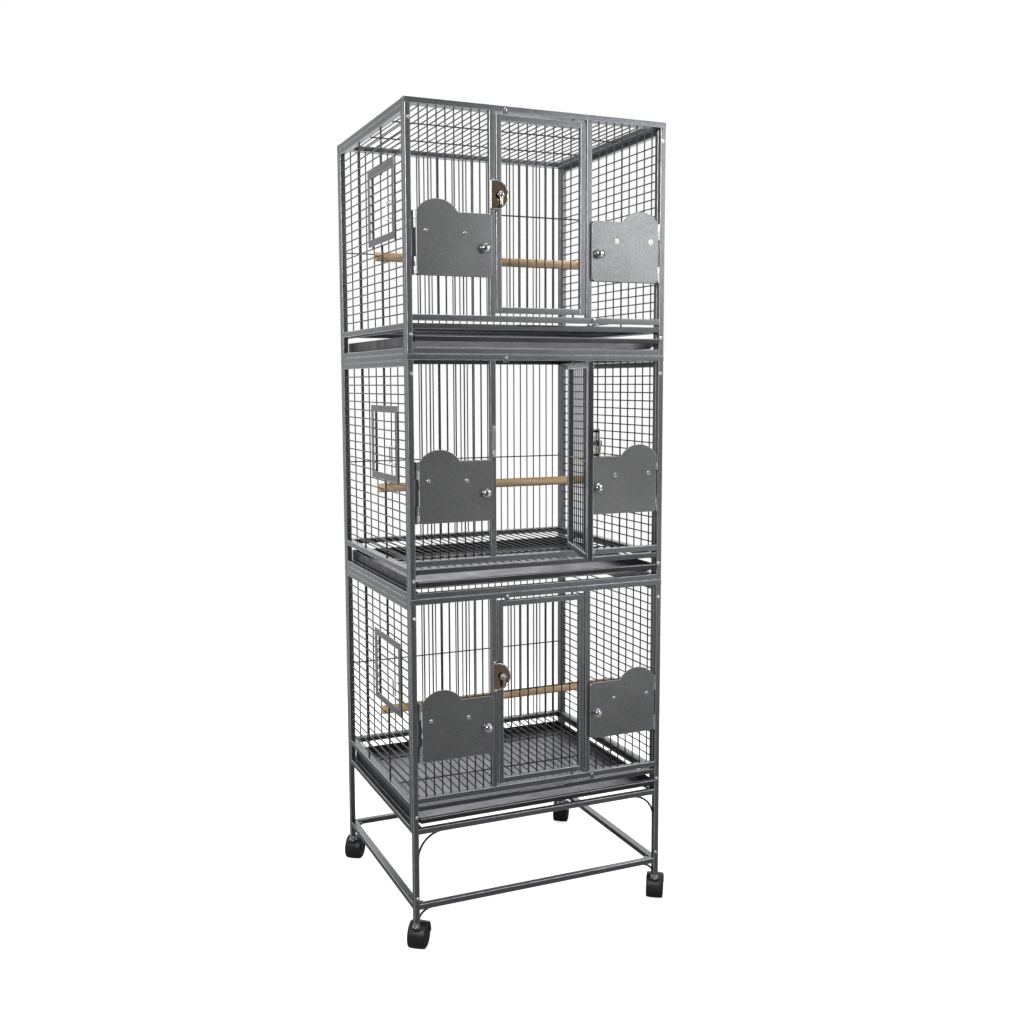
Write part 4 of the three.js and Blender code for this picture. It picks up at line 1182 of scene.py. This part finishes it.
def pale_floor():
    """A pale disc that fades into the backdrop before it reaches the horizon.

    It is white to the eye and dim in reflections, so that undersides stay dark.
    """
    bpy.ops.mesh.primitive_circle_add(vertices=96, radius=6.0, fill_type="NGON")
    floor = bpy.context.object
    floor.name = "studio_floor"
    paint = Finish("floor_paint", metallic=0.0, roughness=0.8, specular=0.2)
    paint.colour(paint.ramp(paint.noise(2.0, 2.0), (0.3, 0.84), (0.7, 0.87)))
    paint.shader.inputs["Emission Color"].default_value = (1, 1, 1, 1)
    paint.shader.inputs["Emission Strength"].default_value = FLOOR_GLOW
    dim = paint.node("BsdfDiffuse", Color=(0.32, 0.32, 0.33, 1))
    path = paint.node("LightPath")
    eye = paint.node("MixShader")
    paint.link(path.outputs["Is Camera Ray"], eye.inputs["Fac"])
    paint.link(dim.outputs["BSDF"], eye.inputs[1])
    paint.link(paint.shader.outputs["BSDF"], eye.inputs[2])
    distance = paint.node("VectorMath")
    distance.operation = "LENGTH"
    paint.link(paint.where, distance.inputs[0])
    fade = paint.node("MapRange", From_Min=0.8, From_Max=2.6)
    fade.interpolation_type = "SMOOTHSTEP"
    paint.link(distance.outputs["Value"], fade.inputs["Value"])
    clear = paint.node("BsdfTransparent")
    blend = paint.node("MixShader")
    paint.link(fade.outputs["Result"], blend.inputs["Fac"])
    paint.link(eye.outputs["Shader"], blend.inputs[1])
    paint.link(clear.outputs["BSDF"], blend.inputs[2])
    paint.link(blend.outputs["Shader"], paint.tree.nodes["Material Output"].inputs["Surface"])
    floor.data.materials.append(paint.material)


def studio_world():
    """White to the eye; as a light it is bright behind and overhead, and dark on the camera's side."""
    world = bpy.data.worlds.new("studio")
    world.use_nodes = True
    bpy.context.scene.world = world
    tree = world.node_tree
    link = tree.links.new
    towards = tree.nodes.new("ShaderNodeTexCoord").outputs["Generated"]

    def share(direction, *stops):
        dot = tree.nodes.new("ShaderNodeVectorMath")
        dot.operation = "DOT_PRODUCT"
        dot.inputs[1].default_value = Vector(direction).normalized()
        link(towards, dot.inputs[0])
        half = tree.nodes.new("ShaderNodeMath")
        half.operation = "MULTIPLY_ADD"
        half.inputs[1].default_value = 0.5
        half.inputs[2].default_value = 0.5
        link(dot.outputs["Value"], half.inputs[0])
        ramp = tree.nodes.new("ShaderNodeValToRGB")
        fill_band(ramp.color_ramp, [((place + 1) / 2, grey) for place, grey in stops])
        link(half.outputs["Value"], ramp.inputs["Fac"])
        return ramp.outputs["Color"]

    room = share((0.4, 0.917, 0.0), (-1.0, 0.02), (-0.85, 0.05), (-0.66, 0.16), (-0.3, 0.13), (0.3, 0.13),
                 (0.7, 0.28), (0.92, 0.65), (1.0, 1.0))
    overhead = share((0.0, 0.15, 1.0), (0.45, 0.0), (0.8, 0.35))
    both = tree.nodes.new("ShaderNodeMix")
    both.data_type = "RGBA"
    both.blend_type = "LIGHTEN"
    both.inputs["Factor"].default_value = 1.0
    link(room, both.inputs[6])
    link(overhead, both.inputs[7])
    light = tree.nodes["Background"]
    light.inputs["Strength"].default_value = ROOM
    link(both.outputs[2], light.inputs["Color"])
    seen = tree.nodes.new("ShaderNodeBackground")
    seen.inputs["Color"].default_value = (1, 1, 1, 1)
    path = tree.nodes.new("ShaderNodeLightPath")
    blend = tree.nodes.new("ShaderNodeMixShader")
    link(path.outputs["Is Camera Ray"], blend.inputs["Fac"])
    link(light.outputs["Background"], blend.inputs[1])
    link(seen.outputs["Background"], blend.inputs[2])
    link(blend.outputs["Shader"], tree.nodes["World Output"].inputs["Surface"])


def softbox(name, at, target, width, height, power):
    light = bpy.data.lights.new(name, "AREA")
    light.shape = "RECTANGLE"
    light.size = width
    light.size_y = height
    light.energy = power
    lamp = bpy.data.objects.new(name, light)
    lamp.location = Vector(at) + ORIGIN * MM
    lamp.rotation_euler = (Vector(target) - Vector(at)).to_track_quat("-Z", "Y").to_euler()
    objects.link(lamp)


def photo_camera():
    data = bpy.data.cameras.new("camera")
    data.lens = LENS
    data.sensor_width = SENSOR
    data.shift_y = LENS_SHIFT
    camera = bpy.data.objects.new("camera", data)
    turn = Matrix.Rotation(PAN, 4, "Z") @ Matrix.Rotation(PITCH_DOWN + math.pi / 2, 4, "X")
    place = Matrix.Translation((Vector(STAND_POINT) + ORIGIN) * MM)
    camera.matrix_world = place @ turn @ Matrix.Rotation(-ROLL, 4, "Z")
    objects.link(camera)
    bpy.context.scene.camera = camera


pale_floor()
studio_world()
softbox("key", (-2.2, -2.7, 2.4), (0, 0, 0.9), 1.1, 1.1, 55)
softbox("front_right", (1.65, -2.5, 2.05), (0.2, -0.26, 1.5), 1.0, 1.0, 15)
softbox("front_low", (1.6, -2.6, 0.35), (0.1, -0.26, 0.5), 1.3, 0.7, 3.2)
softbox("overhead", (0.1, 0.3, 3.2), (0, 0, 1.0), 1.6, 1.6, 14)
photo_camera()
bpy.context.scene.view_settings.view_transform = "Standard"
